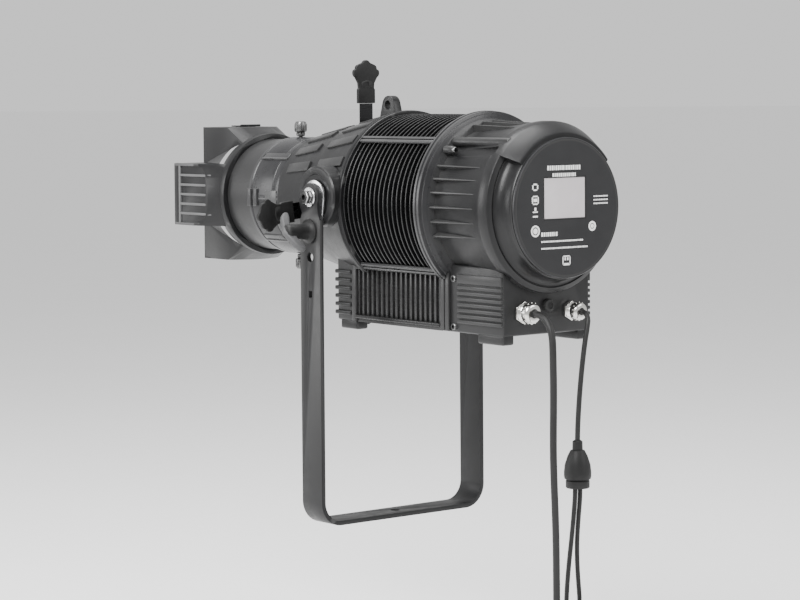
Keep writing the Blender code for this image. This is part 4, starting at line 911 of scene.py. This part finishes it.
def makeFrontCasting():
    look = frontLook
    rear = finLow[1] - gap
    flangeFront = rear - look["flange"]
    outer, wall = ringHigh[0], look["wall"]
    shell = turned("frontCasting", [
        (look["noseRadius"] - wall, look["tip"]), (look["noseRadius"] - 0.001, look["tip"]),
        (look["noseRadius"], look["tip"] + 0.001), (look["noseRadius"], look["nose"]), (coneAt(-0.10), -0.10),
        (coneAt(-0.05), -0.05), (look["coneRadius"], flangeFront - 0.0005), (outer - 0.0030, flangeFront),
        (outer - 0.0010, flangeFront + 0.0008), (outer, flangeFront + 0.0022), (outer, rear - 0.0040),
        (outer - 0.0012, rear - 0.0034), (outer - 0.0012, rear - 0.0022), (outer, rear - 0.0016), (outer - 0.0006, rear),
        (look["coneRadius"] - wall, rear), (look["coneRadius"] - wall, flangeFront),
        (look["noseRadius"] - wall, look["nose"])], around=160, closed=True)
    face = look["bossFace"]
    bosses = []
    for side, along in ((1, "X"), (-1, "-X")):
        boss = turned(f"boss{side}", [(look["boss"] + 0.002, 0.060), (look["boss"], 0.112), (look["boss"], face - 0.002),
                                      (look["boss"] - 0.002, face), (look["boss"] - 0.010, face),
                                      (look["boss"] - 0.011, face - 0.0012)], along, Vector((0, 0, tiltZ)), 96)
        bosses.append(boss)
    core = turned("coneCore", [(look["noseRadius"] - wall - 0.0002, look["tip"] - 0.02),
                               (look["noseRadius"] - wall - 0.0002, look["nose"]),
                               (look["coneRadius"] - wall - 0.0002, flangeFront),
                               (look["coneRadius"] - wall - 0.0002, rear + 0.02)], around=160)
    weld(shell, *bosses)
    cut(shell, core)
    for turn in (0, 90, 180, 270):
        half, wide = look["slit"] / 2, look["slitWide"] / 2
        slit = block("slit", onAxis(-wide, look["gate"] - half, 0.06), onAxis(wide, look["gate"] + half, 0.14))
        cut(shell, bake(slit, about(turn)))
    cut(shell, boxRoom(look["boxFront"] + 0.045, rear + 0.01))
    soften(shell, 0.0007, 2, 40)
    finished(shell, "head", "castPaint", "cast_paint", "front_housing", angle=28)
    pads = []
    for i, angle in enumerate(look["pads"]):            # raised pads with sharp shoulders, as on the cone's top
        for y0, y1 in ((-0.132, -0.070), (-0.044, 0.024)):
            r0, r1 = coneAt(y0), coneAt(y1)
            pad = block("pad", (-0.0068, y0, -0.003), (0.0068, y1, 0.0026), 0.0)
            for corner in pad.data.vertices:
                corner.co.z += r0 if corner.co.y < (y0 + y1) / 2 else r1
            soften(pad, 0.0010, 2)
            pads.append(bake(pad, Matrix.Translation(onAxis()) @ Matrix.Rotation(radians(angle), 4, "Y")))
    finished(gather("conePads", pads), "head", "castPaint", "cast_paint")
    low = coneAt(look["lugY"]) - wall / 2
    eye = look["lugTop"] - look["lugRound"]
    lug = slab("safetyLug", [(-0.0185, low), (0.0185, low)] + arc(0, eye, look["lugRound"], 18, 162, 24), look["lugWide"],
               facing("X", onAxis(y=look["lugY"])), 0.0014, 3)
    cut(lug, turned("lugBore", [(look["lugHole"], -0.03), (look["lugHole"], 0.03)], "X", onAxis(y=look["lugY"], z=eye), 40))
    finished(lug, "head", "castPaint", "cast_paint")
    makeFrontBox(rear)


def makeFrontBox(rear):
    look = frontLook
    half, bottom, top = lowerBox["half"], lowerBox["bottom"], lowerBox["top"]
    front, back_ = look["boxFront"], 0.0145
    body = block("frontBox", onAxis(-half, front, bottom), onAxis(half, back_, top + 0.020), 0.0030, 3)
    cut(body, turned("coneSeat", [(coneAt(front - 0.01) - 0.002, front - 0.01), (coneAt(back_ + 0.01) - 0.002, back_ + 0.01)],
                     around=120))
    finished(body, "head", "castPaint", "cast_paint")
    pieces = []
    pitch = (top - bottom - 0.010) / look["ribs"]
    for side in (-1, 1):
        for i in range(look["ribs"]):
            z = bottom + 0.008 + pitch * i
            xs = sorted((side * (half - 0.002), side * (half + 0.0030)))
            pieces.append(block("frontRib", onAxis(xs[0], front - 0.0020, z), onAxis(xs[1], back_ - 0.012, z + pitch * 0.5), 0.0016, 3))
        xs = sorted((side * (half - 0.001), side * (half + 0.0030)))
        pieces.append(block("frontStrip", onAxis(xs[0], back_ - 0.0095, bottom + 0.001), onAxis(xs[1], back_, top), 0.0010))
        xs = sorted((side * (half - 0.019), side * (half - 0.0008)))
        pieces.append(block("frontFoot", onAxis(xs[0], front + 0.006, bottom - 0.011), onAxis(xs[1], back_ - 0.002, bottom + 0.002), 0.0026, 3))
    finished(gather("frontBoxRibs", pieces), "head", "castPaint", "cast_paint")


makeFrontCasting()
print("front casting done")

# Side panels: upright fins between two rails
panelFins = {"count": 17, "deep": 0.0042, "tip": 0.0022, "back": 0.0035}


def makeSidePanels():
    for word, side in sides.items():
        low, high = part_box(f"side_panel_{word}")
        y0, y1 = low[1], high[1]
        z0, z1 = low[2] + 0.0006, high[2] - 0.0006
        half = lowerBox["half"]
        pitch = (y1 - y0) / (panelFins["count"] + 0.5)
        xs = sorted((side * (half - panelFins["deep"] - panelFins["back"]), side * (half - panelFins["deep"])))
        pieces = [block("sheet", (xs[0], y0, z0), (xs[1], y1, z1))]
        for i in range(panelFins["count"] + 1):
            start = y0 + pitch * (i - 0.05)
            end = start + pitch * 0.42
            xs = sorted((side * (half - panelFins["deep"] - 0.0005), side * (half - 0.0002)))
            pieces.append(block("fin", (xs[0], max(start, y0), z0 + 0.002), (xs[1], min(end, y1), z1 - 0.002), 0.0005))
        for zz0, zz1 in ((low[2], low[2] + 0.0048), (high[2] - 0.0048, high[2])):
            xs = sorted((side * (half - 0.004), side * (half + lowerBox["rail"])))
            pieces.append(block("rail", (xs[0], y0, zz0), (xs[1], y1, zz1), 0.0012, 3))
        finished(gather(f"sidePanel{word.title()}", pieces), "head", "finAnodised", "fin_anodised", f"side_panel_{word}")


makeSidePanels()
print("side panels done")

# Barrel: two half shells with flat ledges where they meet, straps and a clip; then the sliding tube
barrelLow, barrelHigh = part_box("barrel_shell_upper")
barrelLook = {"wall": 0.003, "ledge": 0.0052, "ledgeTurns": (-47, 47, 133, 227), "clipY": (-0.2205, -0.1985)}


def makeBarrel():
    radius, front, rear = barrelHigh[0], barrelLow[1], barrelHigh[1]
    wall = barrelLook["wall"]
    for word, side in (("upper", 1), ("lower", -1)):
        shell = turned(f"barrel{word.title()}", [
            (radius - wall, front), (radius - 0.0014, front), (radius - 0.0002, front + 0.0012), (radius - 0.0002, front + 0.006),
            (radius - 0.0014, front + 0.0072), (radius - 0.0014, front + 0.0092), (radius, front + 0.0106),
            (radius, rear - 0.016), (radius - 0.0008, rear - 0.0154), (radius - 0.0008, rear - 0.0140),
            (radius, rear - 0.0134), (radius, rear), (radius - wall, rear)], around=144, closed=True)
        half = sorted((side * 0.0002, -side * 0.13))
        cut(shell, block("otherHalf", onAxis(-0.13, front - 0.01, half[0]), onAxis(0.13, rear + 0.01, half[1])))
        knobY = middleOf(f"focus_knob_{'top' if side > 0 else 'bottom'}").y
        zs = sorted((side * (radius - 0.02), side * (radius + 0.01)))
        cut(shell, block("knobSlot", onAxis(-0.0038, knobY - 0.0098, zs[0]), onAxis(0.0038, knobY + 0.0418, zs[1]), 0.0))
        soften(shell, 0.0004, 2, 45)
        finished(shell, "head", "ringPaint", "cast_paint", f"barrel_shell_{word}")
    pieces = []
    for turn in barrelLook["ledgeTurns"]:
        ledge = block("ledge", onAxis(-0.0055, front + 0.012, radius - 0.004), onAxis(0.0055, rear - 0.002, radius + 0.0016), 0.0012, 3)
        pieces.append(bake(ledge, about(turn)))
        line = block("ledgeLine", onAxis(-0.0012, front + 0.012, radius - 0.003), onAxis(0.0012, rear - 0.002, radius + 0.0030), 0.0006)
        pieces.append(bake(line, about(turn + 3)))
    for side in (-1, 1):
        for y0, y1 in ((barrelLook["clipY"][0], barrelLook["clipY"][0] + 0.008), (barrelLook["clipY"][1] - 0.008, barrelLook["clipY"][1])):
            clip = block("clipBlock", onAxis(-0.012, y0, radius - 0.004), onAxis(0.012, y1, radius + 0.0030), 0.0012, 3)
            pieces.append(bake(clip, about(90 * side)))
        rear2 = block("seamPad", onAxis(-0.010, rear - 0.030, radius - 0.004), onAxis(0.010, rear - 0.004, radius + 0.0008), 0.0005)
        pieces.append(bake(rear2, about(90 * side)))
    finished(gather("barrelLedges", pieces), "head", "ringPaint", "cast_paint")


def makeTube():
    low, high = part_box("focus_tube")
    radius, front, rear = high[0], low[1], high[1]
    inner = radius - 0.0042
    profile = [(inner, front), (radius - 0.0008, front), (radius, front + 0.0008), (radius, rear - 0.0008), (radius - 0.0008, rear),
               (inner, rear)]
    y = rear - 0.010
    while y > front + 0.030:                        # threads inside kill stray light
        profile += [(inner, y), (inner + 0.0008, y - 0.0016), (inner, y - 0.0032)]
        y -= 0.006
    tubePiece = turned("lensTube", profile, around=128, closed=True)
    finished(tubePiece, "focus", "castPaint", "cast_paint", "focus_tube")
    for word, along, side in (("top", "Z", 1), ("bottom", "-Z", -1)):
        low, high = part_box(f"focus_knob_{word}")
        reach = max(abs(low[2] - axisZ), abs(high[2] - axisZ))
        y = middleOf(f"focus_knob_{word}").y
        collar, head = reach - 0.0210, reach - 0.0150
        knob = turned(f"focusKnob{word.title()}", [
            (0.0030, radius + gap), (0.0030, collar), (0.0052, collar), (0.0062, collar + 0.0012), (0.0062, head - 0.0012),
            (0.0056, head), (0.0078, head + 0.0002), (0.0084, head + 0.0014), (0.0082, reach - 0.0030), (0.0070, reach - 0.0006),
            (0.0052, reach), (0.0048, reach - 0.0010)], along, onAxis(y=y), 40)
        pieces = [knob]
        for i in range(18):
            tooth = block("tooth", (-0.0007, 0.0078, head + 0.0016), (0.0007, 0.0089, reach - 0.0032), 0.0003)
            turn = Matrix.Translation(onAxis(y=y)) @ lays[along] @ Matrix.Rotation(2 * pi * i / 18, 4, "Z")
            pieces.append(bake(tooth, turn))
        finished(gather(f"focusKnob{word.title()}", pieces), f"knob_{word}", "screwBlack", "moulded_black", f"focus_knob_{word}")


makeBarrel()
makeTube()
print("barrel and tube done")

# Accessory holder: four arms on a ring, open between rails at the sides
holderLow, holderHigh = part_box("accessory_holder")
holderLook = {"arm": 0.044, "wall": 0.003, "ring": 0.086, "collar": 0.012, "flare": -0.335, "rails": 7, "railPitch": 0.0118,
              "railTall": 0.0036}


def starForm(name, inset, front, rear):
    look = holderLook
    reach = holderHigh[0]
    arm = look["arm"] - inset
    tall = reach - inset
    body = block(name, onAxis(-tall, front, -arm), onAxis(tall, rear - 0.001, arm))
    weld(body, block("upright", onAxis(-arm, front, -tall), onAxis(arm, rear - 0.001, tall)))
    corner = hypot(look["arm"], reach) + 0.004 - inset
    ringRadius = look["ring"] - 0.002 - inset
    flare = turned("flare", [(corner, front - 0.001), (corner, look["flare"]), (ringRadius, rear - 0.009),
                             (ringRadius, rear + 0.001)], around=128)
    work(body, flare, "INTERSECT")
    valley = turned("valley", [(look["arm"] * sqrt(2) - 0.002 - inset, front + 0.001), (look["ring"] - inset, rear - 0.010),
                               (look["ring"] - inset, rear)], around=128)
    return weld(body, valley)


def makeHolder():
    look = holderLook
    front, rear = holderLow[1], holderHigh[1]
    collar = rear - look["collar"]
    holder = starForm("accessoryHolder", 0, front, rear)
    cut(holder, starForm("holderRoom", look["wall"], front - 0.01, collar))
    tubeLow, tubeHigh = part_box("focus_tube")
    cut(holder, turned("tubeSeat", [(tubeHigh[0] + gap, collar - 0.005), (tubeHigh[0] + gap, rear + 0.01)], around=128))
    half = 0.0030
    slotY = -0.3755
    wide = look["arm"] - look["wall"] - 0.001
    cut(holder, block("frameSlot", onAxis(-wide, slotY - half, 0.06), onAxis(wide, slotY + half, 0.12)))
    tall = look["arm"] - 0.004
    for side in (-1, 1):                                # the panels behind the rails
        xs = sorted((side * (holderHigh[0] - 0.0024), side * 0.12))
        cut(holder, block("sidePanel", onAxis(xs[0], front + 0.0125, -tall), onAxis(xs[1], front + 0.082, tall)))
    soften(holder, 0.0008, 2, 35)
    finished(holder, "focus", "castPaint", "cast_paint", "accessory_holder", angle=30)
    rails = []
    reach = holderHigh[0]
    for side in (-1, 1):
        for i in range(look["rails"] - 2):
            z = (i - (look["rails"] - 3) / 2) * look["railPitch"] * 1.16
            lean = [(reach - 0.0050, front + 0.010), (reach, front + 0.010), (reach, front + 0.070),
                    (reach - 0.0060, front + 0.084), (reach - 0.0110, front + 0.084), (reach - 0.0050, front + 0.070)]
            rail = slab("rail", lean, look["railTall"], facing("Z"))
            soften(rail, 0.0009, 2)
            mirror = Matrix.Translation(onAxis(z=z)) @ (Matrix.Identity(4) if side > 0 else Matrix.Rotation(pi, 4, "Z"))
            if side < 0:
                mirror = Matrix.Translation(onAxis(z=z)) @ Matrix.Scale(-1, 4, (1, 0, 0))
            rails.append(bake(rail, mirror))
            cleanUp(rail)
        for z in (-1, 1):
            xs = sorted((side * (reach - 0.0065), side * (reach + 0.0002)))
            zs = sorted((z * (look["arm"] - 0.0040), z * (look["arm"] + 0.0004)))
            rails.append(block("railEnd", onAxis(xs[0], front, zs[0]), onAxis(xs[1], front + 0.050, zs[1]), 0.0014, 3))
        xs = sorted((side * (reach - 0.0045), side * (reach + 0.0003)))
        rails.append(block("railPost", onAxis(xs[0], front + 0.0105, 0.002 - look["arm"]), onAxis(xs[1], front + 0.0145, look["arm"] - 0.002), 0.0010))
    finished(gather("holderRails", rails), "focus", "wingGrey", "cast_paint")
    hooks = []
    for side in (-1, 1):                                # the two lips that hold a frame's lower edge
        xs = sorted((side * (look["arm"] - 0.016), side * look["arm"]))
        hooks.append(block("lip", onAxis(xs[0], front - 0.0002, -reach - 0.0002), onAxis(xs[1], front + 0.003, -reach + 0.010), 0.0012, 3))
        hooks.append(block("lipFoot", onAxis(xs[0], front + 0.001, -reach - 0.0002), onAxis(xs[1], front + 0.016, -reach + 0.0030), 0.0012, 3))
    finished(gather("frameLips", hooks), "focus", "castPaint", "cast_paint")


makeHolder()
print("accessory holder done")

# Yoke: a bent strap with rounded eyes, its pivots and its lock handles
yokeLow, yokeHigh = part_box("yoke_strap")
yokeLook = {"thick": 0.006, "wide": 0.043, "bend": 0.032, "eye": 0.018, "neck": 0.030, "hole": 0.0065, "holeDrop": 0.079,
            "slotDrop": 0.128, "slotWide": 0.007, "slotTall": 0.009, "lockDrop": 0.045}


def bentStrip(name, outer, inside, wide):
    # a square of the strip at its first end, pulled on step by step between its two lines
    deselect()
    bpy.ops.mesh.primitive_plane_add(size=1, location=(0, 0, 0))
    obj = bpy.context.object
    obj.name = name
    near, far = Vector((outer[0][0], 0, outer[0][1])), Vector((inside[0][0], 0, inside[0][1]))
    for corner in obj.data.vertices:
        place = near if corner.co.x > 0 else far
        corner.co = Vector((place.x, wide * (0.5 if corner.co.y > 0 else -0.5), place.z))
    for (x, z), (u, w) in zip(outer[1:], inside[1:]):
        bpy.ops.object.mode_set(mode="EDIT")
        if obj.data.total_vert_sel == 4:
            bpy.ops.mesh.extrude_region_move()
        bpy.ops.object.mode_set(mode="OBJECT")
        held = [corner for corner in obj.data.vertices if corner.select]
        middle = (near + far) / 2
        for corner in held:
            first = (corner.co.xz - near.xz).length < (corner.co.xz - far.xz).length
            corner.co.x, corner.co.z = (x, z) if first else (u, w)
        near, far = Vector((x, 0, z)), Vector((u, 0, w))
    cleanUp(obj)
    return obj


def makeYoke():
    look = yokeLook
    half, thick, bend = yokeHigh[0], look["thick"], look["bend"]
    inner = half - thick
    top = tiltZ - look["neck"]
    outer = [(half, top)] + arc(half - bend, bend, bend, 0, -90, 16)
    inside = [(inner, top)] + arc(half - bend, bend, bend - thick, 0, -90, 16)
    outer += [(-x, z) for x, z in reversed(outer)]
    inside += [(-x, z) for x, z in reversed(inside)]
    strap = bentStrip("yokeStrap", outer, inside, look["wide"])
    wide = look["wide"] / 2
    for side in (-1, 1):
        waist = [(-wide, -look["neck"] * 1.05), (-wide, -look["neck"] - 0.002), (wide, -look["neck"] - 0.002),
                 (wide, -look["neck"] * 1.05), (wide - 0.0012, -look["neck"] * 0.90), (wide - 0.0045, -look["neck"] * 0.66)]
        eye = slab("eye", arc(0, 0, look["eye"], -28, 208, 32) + [(-wide + 0.0045, -look["neck"] * 0.66),
                                                                (-wide + 0.0012, -look["neck"] * 0.90)] + waist,
                   thick, facing("X", (side * (half - thick / 2), 0, tiltZ)))
        weld(strap, eye)
    across = half + 0.01
    for radius, drop in ((0.0055, 0), (0.0045, look["lockDrop"]), (look["hole"], look["holeDrop"])):
        cut(strap, turned("hole", [(radius, -across), (radius, across)], "X", Vector((0, 0, tiltZ - drop)), 36))
    z = tiltZ - look["slotDrop"]
    cut(strap, block("slot", (-across, -look["slotWide"] / 2, z - look["slotTall"] / 2), (across, look["slotWide"] / 2, z + look["slotTall"] / 2), 0.0008))
    cut(strap, turned("clampHole", [(look["hole"], -0.01), (look["hole"], 0.02)], "Z", Vector((0, 0, 0)), 40))
    soften(strap, 0.0007, 2, 50)
    finished(strap, "yoke", "strapPaint", "strap_paint", "yoke_strap")


def makePivots():
    half = yokeHigh[0]
    for word, side in sides.items():
        along = "X" if side > 0 else "-X"
        place = Vector((0, 0, tiltZ))
        seat = half + gap
        flange = turned(f"washer{word.title()}", [(0.0050, seat), (0.0120, seat), (0.0128, seat + 0.0006), (0.0128, seat + 0.0012),
                                                (0.0118, seat + 0.0020), (0.0050, seat + 0.0020)], along, place, 64, closed=True)
        head = turned(f"boltHead{word.title()}", [(0.0092, seat + 0.0021), (0.0096, seat + 0.0030), (0.0096, seat + 0.0088),
                                                (0.0086, seat + 0.0098)], along, place, 6, edge=0.0005)
        cut(head, turned("boltSocket", [(0.0040, seat + 0.0050), (0.0040, seat + 0.02)], along, place, 6))
        shank = turned("boltShank", [(0.0050, half - 0.0275), (0.0050, seat + 0.0025)], along, place, 40)
        finished(flange, "yoke", "boltZinc", "bolt_steel")
        finished(gather(f"pivotBolt{word.title()}", [head, shank]), "yoke", "screwBlack", "bolt_steel",
                 f"pivot_bolt_{word}")
        low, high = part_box(f"clamp_plate_{word}")
        drop = yokeLook["lockDrop"]
        lean = degrees(asin((0.022 - 0.014) / drop))
        outline = arc(0, 0, 0.022, -lean, 180 + lean, 36) + arc(0, -drop, 0.014, 180 + lean, 360 - lean, 18)
        plate_ = slab(f"clampPlate{word.title()}", outline, high[0] - low[0], facing("X", ((low[0] + high[0]) / 2, 0, tiltZ)), 0.0006)
        cut(plate_, turned("plateHole", [(0.0055, low[0] - 0.01), (0.0055, high[0] + 0.01)], "X", place, 32))
        finished(plate_, "yoke", "boltZinc", "bolt_steel", f"clamp_plate_{word}")


# Lock handle: a hub with a cast wing that sweeps down across its outer end
lockLook = {"hub": 0.0105, "flange": 0.0160, "long": 0.040, "wing": 0.030, "lean": 42}


def makeLocks():
    look = lockLook
    half = yokeHigh[0]
    for word, side in sides.items():
        along = "X" if side > 0 else "-X"
        place = Vector((0, 0, tiltZ - yokeLook["lockDrop"]))
        seat = half + gap
        end = seat + look["long"]
        hub = turned(f"lockHub{word.title()}", [
            (0.0038, half - 0.0057), (0.0038, seat), (look["flange"] - 0.001, seat), (look["flange"], seat + 0.0010),
            (look["flange"], seat + 0.0030), (look["hub"] + 0.0016, seat + 0.0052), (look["hub"], seat + 0.0090),
            (look["hub"] * 0.94, end - 0.0200), (look["hub"], end - 0.0050), (look["hub"] * 0.90, end - 0.0015),
            (look["hub"] * 0.70, end)], along, place, 48)
        long = look["wing"]
        edge = [(-0.012, -0.0052), (0, -0.0085), (0.012, -0.0052), (long * 0.75, -0.0064), (long, -0.0046),
                (long + 0.0016, 0), (long, 0.0046), (long * 0.75, 0.0064), (0.012, 0.0064), (0, 0.0090),
                (-0.012, 0.0064), (-long * 0.75, 0.0064), (-long, 0.0046), (-long - 0.0016, 0), (-long, -0.0046),
                (-long * 0.75, -0.0064)]
        wing = slab(f"lockWing{word.title()}", edge, 0.0085, Matrix.Identity(4), 0.0030, 4)
        for corner in wing.data.vertices:               # the tips curl in towards the strap
            corner.co.y -= 9.0 * corner.co.x**2
        out = Matrix([(0, 1, 0, 0), (0, 0, 1, 0), (1, 0, 0, 0), (0, 0, 0, 1)])
        turn = Matrix.Rotation(radians(look["lean"]), 4, "X")
        mirror = Matrix.Scale(side, 4, (1, 0, 0))
        bake(wing, Matrix.Translation((side * (end - 0.006), 0, place.z)) @ mirror @ turn @ out)
        cleanUp(wing)
        finished(hub, f"lock_{word}", "mouldedBlack", "moulded_black", f"lock_handle_{word}", angle=40)
        finished(wing, f"lock_{word}", "wingGrey", "moulded_black", angle=40)


makeYoke()
makePivots()
makeLocks()
print("yoke done")

# Shutters: moulded grips over the steel stems
gripLook = {"thick": 0.0085, "neck": 0.0145, "lobe": 0.0068, "head": 0.022}


def crownOutline(low, high):
    look = gripLook
    neck, lobe = look["neck"], look["lobe"]
    side = look["head"] - lobe
    shoulder = high - 0.0175
    half = [(low, -neck), (low + 0.0190, -neck), (low + 0.0205, -neck + 0.0016), (shoulder - 0.0140, -neck + 0.0010)]
    half += arc(shoulder, -side, lobe, 205, 308, 8)
    half += arc(high - 0.0118, -0.0122, 0.0056, 262, 345, 6)
    half += arc(high - lobe, 0, lobe, -62, 0, 6)
    return half + [(u, -v) for u, v in reversed(half[:-1])]


def makeGrips():
    lays_ = {"top": 90, "bottom": -90, "left": -6, "right": 180}
    for word, angle in lays_.items():
        low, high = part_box(f"shutter_grip_{word}")
        blade = middleOf(f"shutter_blade_{word}")
        turn = Matrix.Translation(onAxis(y=middleOf(f"shutter_grip_{word}").y)) @ Matrix.Rotation(-radians(angle), 4, "Y") @ facing("Y")
        if abs(angle) == 90:
            ends = sorted((abs(low[2] - axisZ), abs(high[2] - axisZ)))
        else:
            ends = sorted((abs(low[0]), abs(high[0])))
        if word == "left":
            ends = [0.1263, 0.1850]
        grip = slab(f"shutterGrip{word.title()}", crownOutline(*ends), gripLook["thick"] - 0.0035, turn, 0.0015, 3)
        pad = slab("pad", [(ends[0] + 0.0215, -0.0095), (ends[1] - 0.0300, -0.0095), (ends[1] - 0.0270, 0), (ends[1] - 0.0300, 0.0095),
                           (ends[0] + 0.0215, 0.0095)], gripLook["thick"] - 0.0022, turn, 0.0006)
        slotPiece = block("slot", (ends[0] + 0.0235, -0.0026, -0.01), (ends[0] + 0.0290, 0.0026, 0.01), 0.0004)
        cut(pad, bake(slotPiece, turn))
        finished(gather(f"shutterGrip{word.title()}", [grip, pad]), f"shutter_{word}", "mouldedBlack", "moulded_black",
                 f"shutter_grip_{word}", angle=40)
        screws = []
        for offset in (0.0060, 0.0130):
            head = turned("gripScrew", [(0.0022, gripLook["thick"] / 2 - 0.0022), (0.0022, gripLook["thick"] / 2 - 0.0012),
                                        (0.0016, gripLook["thick"] / 2 - 0.0006)], "Z", Vector((0, 0, 0)), 20)
            screws.append(bake(head, turn @ Matrix.Translation((ends[0] + offset, 0, 0))))
        finished(gather(f"gripScrews{word.title()}", screws), f"shutter_{word}", "boltZinc", "bolt_steel")


makeGrips()
print("shutter grips done")


# Fittings on the cords
def makeFittings():
    place = middleOf("y_splitter")
    low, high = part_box("y_splitter")
    top, bottom = high[2], low[2]
    size = cordSizes["signal"] / 2
    body = turned("splitter", [
        (0.0140, bottom), (0.0150, bottom + 0.0010), (0.0150, bottom + 0.0090), (0.0140, bottom + 0.0100),
        (0.0166, bottom + 0.0118), (0.0172, bottom + 0.0150), (0.0172, bottom + 0.0200), (0.0162, bottom + 0.0290),
        (0.0126, bottom + 0.0400), (0.0098, bottom + 0.0455), (0.0090, bottom + 0.0470), (0.0066, bottom + 0.0480),
        (0.0064, bottom + 0.0580), (size + 0.0012, top)], "Z", Vector((place.x, place.y, 0)), 56)
    pieces = [body]
    for i in range(10):
        rib = block("rib", (-0.0011, 0.0105, bottom + 0.0230), (0.0011, 0.0150, bottom + 0.0440), 0.0006)
        for corner in rib.data.vertices:
            corner.co.y -= 0.0048 if corner.co.z > bottom + 0.035 else -0.0018
        pieces.append(bake(rib, Matrix.Translation((place.x, place.y, 0)) @ Matrix.Rotation(2 * pi * i / 10, 4, "Z")))
    finished(gather("cordSplitter", pieces), "yoke", "mouldedBlack", "moulded_black", "y_splitter")
    for word in ("in", "out"):
        low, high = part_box(f"branch_connector_{word}")
        place = middleOf(f"branch_connector_{word}")
        radius = (high[0] - low[0]) / 2
        top, bottom = high[2], low[2]
        profile = [(radius * 0.80, bottom), (radius * 0.86, bottom + 0.0010), (radius * 0.86, bottom + 0.0100), (radius, bottom + 0.0106),
                   (radius, bottom + 0.0280), (radius * 0.90, bottom + 0.0290), (radius * 0.90, bottom + 0.0300),
                   (radius, bottom + 0.0310), (radius, top - 0.0185), (radius * 0.72, top - 0.0150)]
        z = top - 0.0150
        while z < top - 0.0020:
            profile += [(0.0058, z + 0.0006), (0.0064, z + 0.0012), (0.0064, z + 0.0020), (0.0056, z + 0.0026)]
            z += 0.0028
        profile.append((0.0040, top))
        body = turned(f"connector{word.title()}", profile, "Z", Vector((place.x, place.y, 0)), 48)
        cut(body, turned("sockets", [(radius * 0.66, bottom - 0.01), (radius * 0.66, bottom + 0.006)], "Z", Vector((place.x, place.y, 0)), 40))
        finished(body, "yoke", "mouldedBlack", "moulded_black", f"branch_connector_{word}")
        pins = []
        for i in range(3):
            turn = 2 * pi * (i + 0.25) / 3
            spot = Vector((place.x + 0.0034 * cos(turn), place.y + 0.0034 * sin(turn), 0))
            pins.append(turned("pin", [(0.0008, bottom + 0.0062), (0.0008, bottom + 0.0010), (0.0004, bottom + 0.0004)], "Z", spot, 16))
        finished(gather(f"pins{word.title()}", pins), "yoke", "nickelPlate", "nickel")
    low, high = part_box("power_plug")
    place = middleOf("power_plug")
    top, bottom = high[2], low[2]
    body = turned("plugBody", [(0.0130, bottom + 0.0100), (0.0146, bottom + 0.0112), (0.0158, bottom + 0.0150), (0.0158, top - 0.0260),
                               (0.0120, top - 0.0225), (0.0098, top - 0.0190), (0.0084, top - 0.0186), (0.0084, top - 0.0160),
                               (0.0074, top - 0.0156), (0.0076, top - 0.0120), (0.0066, top - 0.0116), (0.0068, top - 0.0080),
                               (0.0058, top - 0.0076), (0.0058, top)], "Z", Vector((place.x, place.y, 0)), 56)
    pieces = [body]
    for i in range(12):
        rib = block("rib", (-0.0010, 0.0150, bottom + 0.0180), (0.0010, 0.0166, top - 0.0300), 0.0004)
        pieces.append(bake(rib, Matrix.Translation((place.x, place.y, 0)) @ Matrix.Rotation(2 * pi * i / 12, 4, "Z")))
    plug = finished(gather("mainsPlug", pieces), "yoke", "mouldedBlack", "moulded_black", "power_plug")
    pins = []
    for x, y in ((-0.0050, 0.0), (0.0050, 0.0), (0.0, 0.0055)):
        pins.append(block("blade", (place.x + x - 0.0010, place.y + y - 0.0025, bottom), (place.x + x + 0.0010, place.y + y + 0.0025, bottom + 0.012), 0.0004))
    finished(gather("plugPins", pins), "yoke", "nickelPlate", "nickel")
    tieSize = cordSizes["power"]
    ties = []
    for turn in (140, 320):                             # hook-and-loop ties hold the spare turns
        tie = block("tie", (-0.0075, -tieSize * 2.02, -tieSize * 0.5 - 0.0016), (0.0075, tieSize * 2.02, tieSize * 0.5 + 0.0016), 0.0030, 4)
        tieHole = block("tieHole", (-0.01, -tieSize * 2.02 + 0.0013, -tieSize * 0.5 - 0.0003), (0.01, tieSize * 2.02 - 0.0013, tieSize * 0.5 + 0.0003), 0.0026, 4)
        cut(tie, tieHole)
        around_ = Matrix.Translation(coilMiddle) @ Matrix.Rotation(radians(turn), 4, "Y") @ Matrix.Translation((0, 0, coil["radius"]))
        ties.append(bake(tie, around_))
    finished(gather("coilTies", ties), "yoke", "mouldedBlack", "moulded_black")
    return plug


makeFittings()
print("cord fittings done")

for piece, body in ((powerCord, None), (cordPieces["signal"], None), (cordPieces["in"], "yoke"), (cordPieces["out"], "yoke")):
    take(piece)
    bpy.ops.object.shade_smooth_by_angle(angle=radians(60))
    piece.data.materials.clear()
    piece.data.materials.append(paints["cordSheath"])
    if body:
        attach(piece, body)
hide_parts("power_cord", "power_coil")
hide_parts("signal_cord")
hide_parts("branch_cord_in")
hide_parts("branch_cord_out")
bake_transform(powerCord)
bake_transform(cordPieces["signal"])
print("cords declared:", round(lengthOf(powerPoints), 3), "m of power cord")
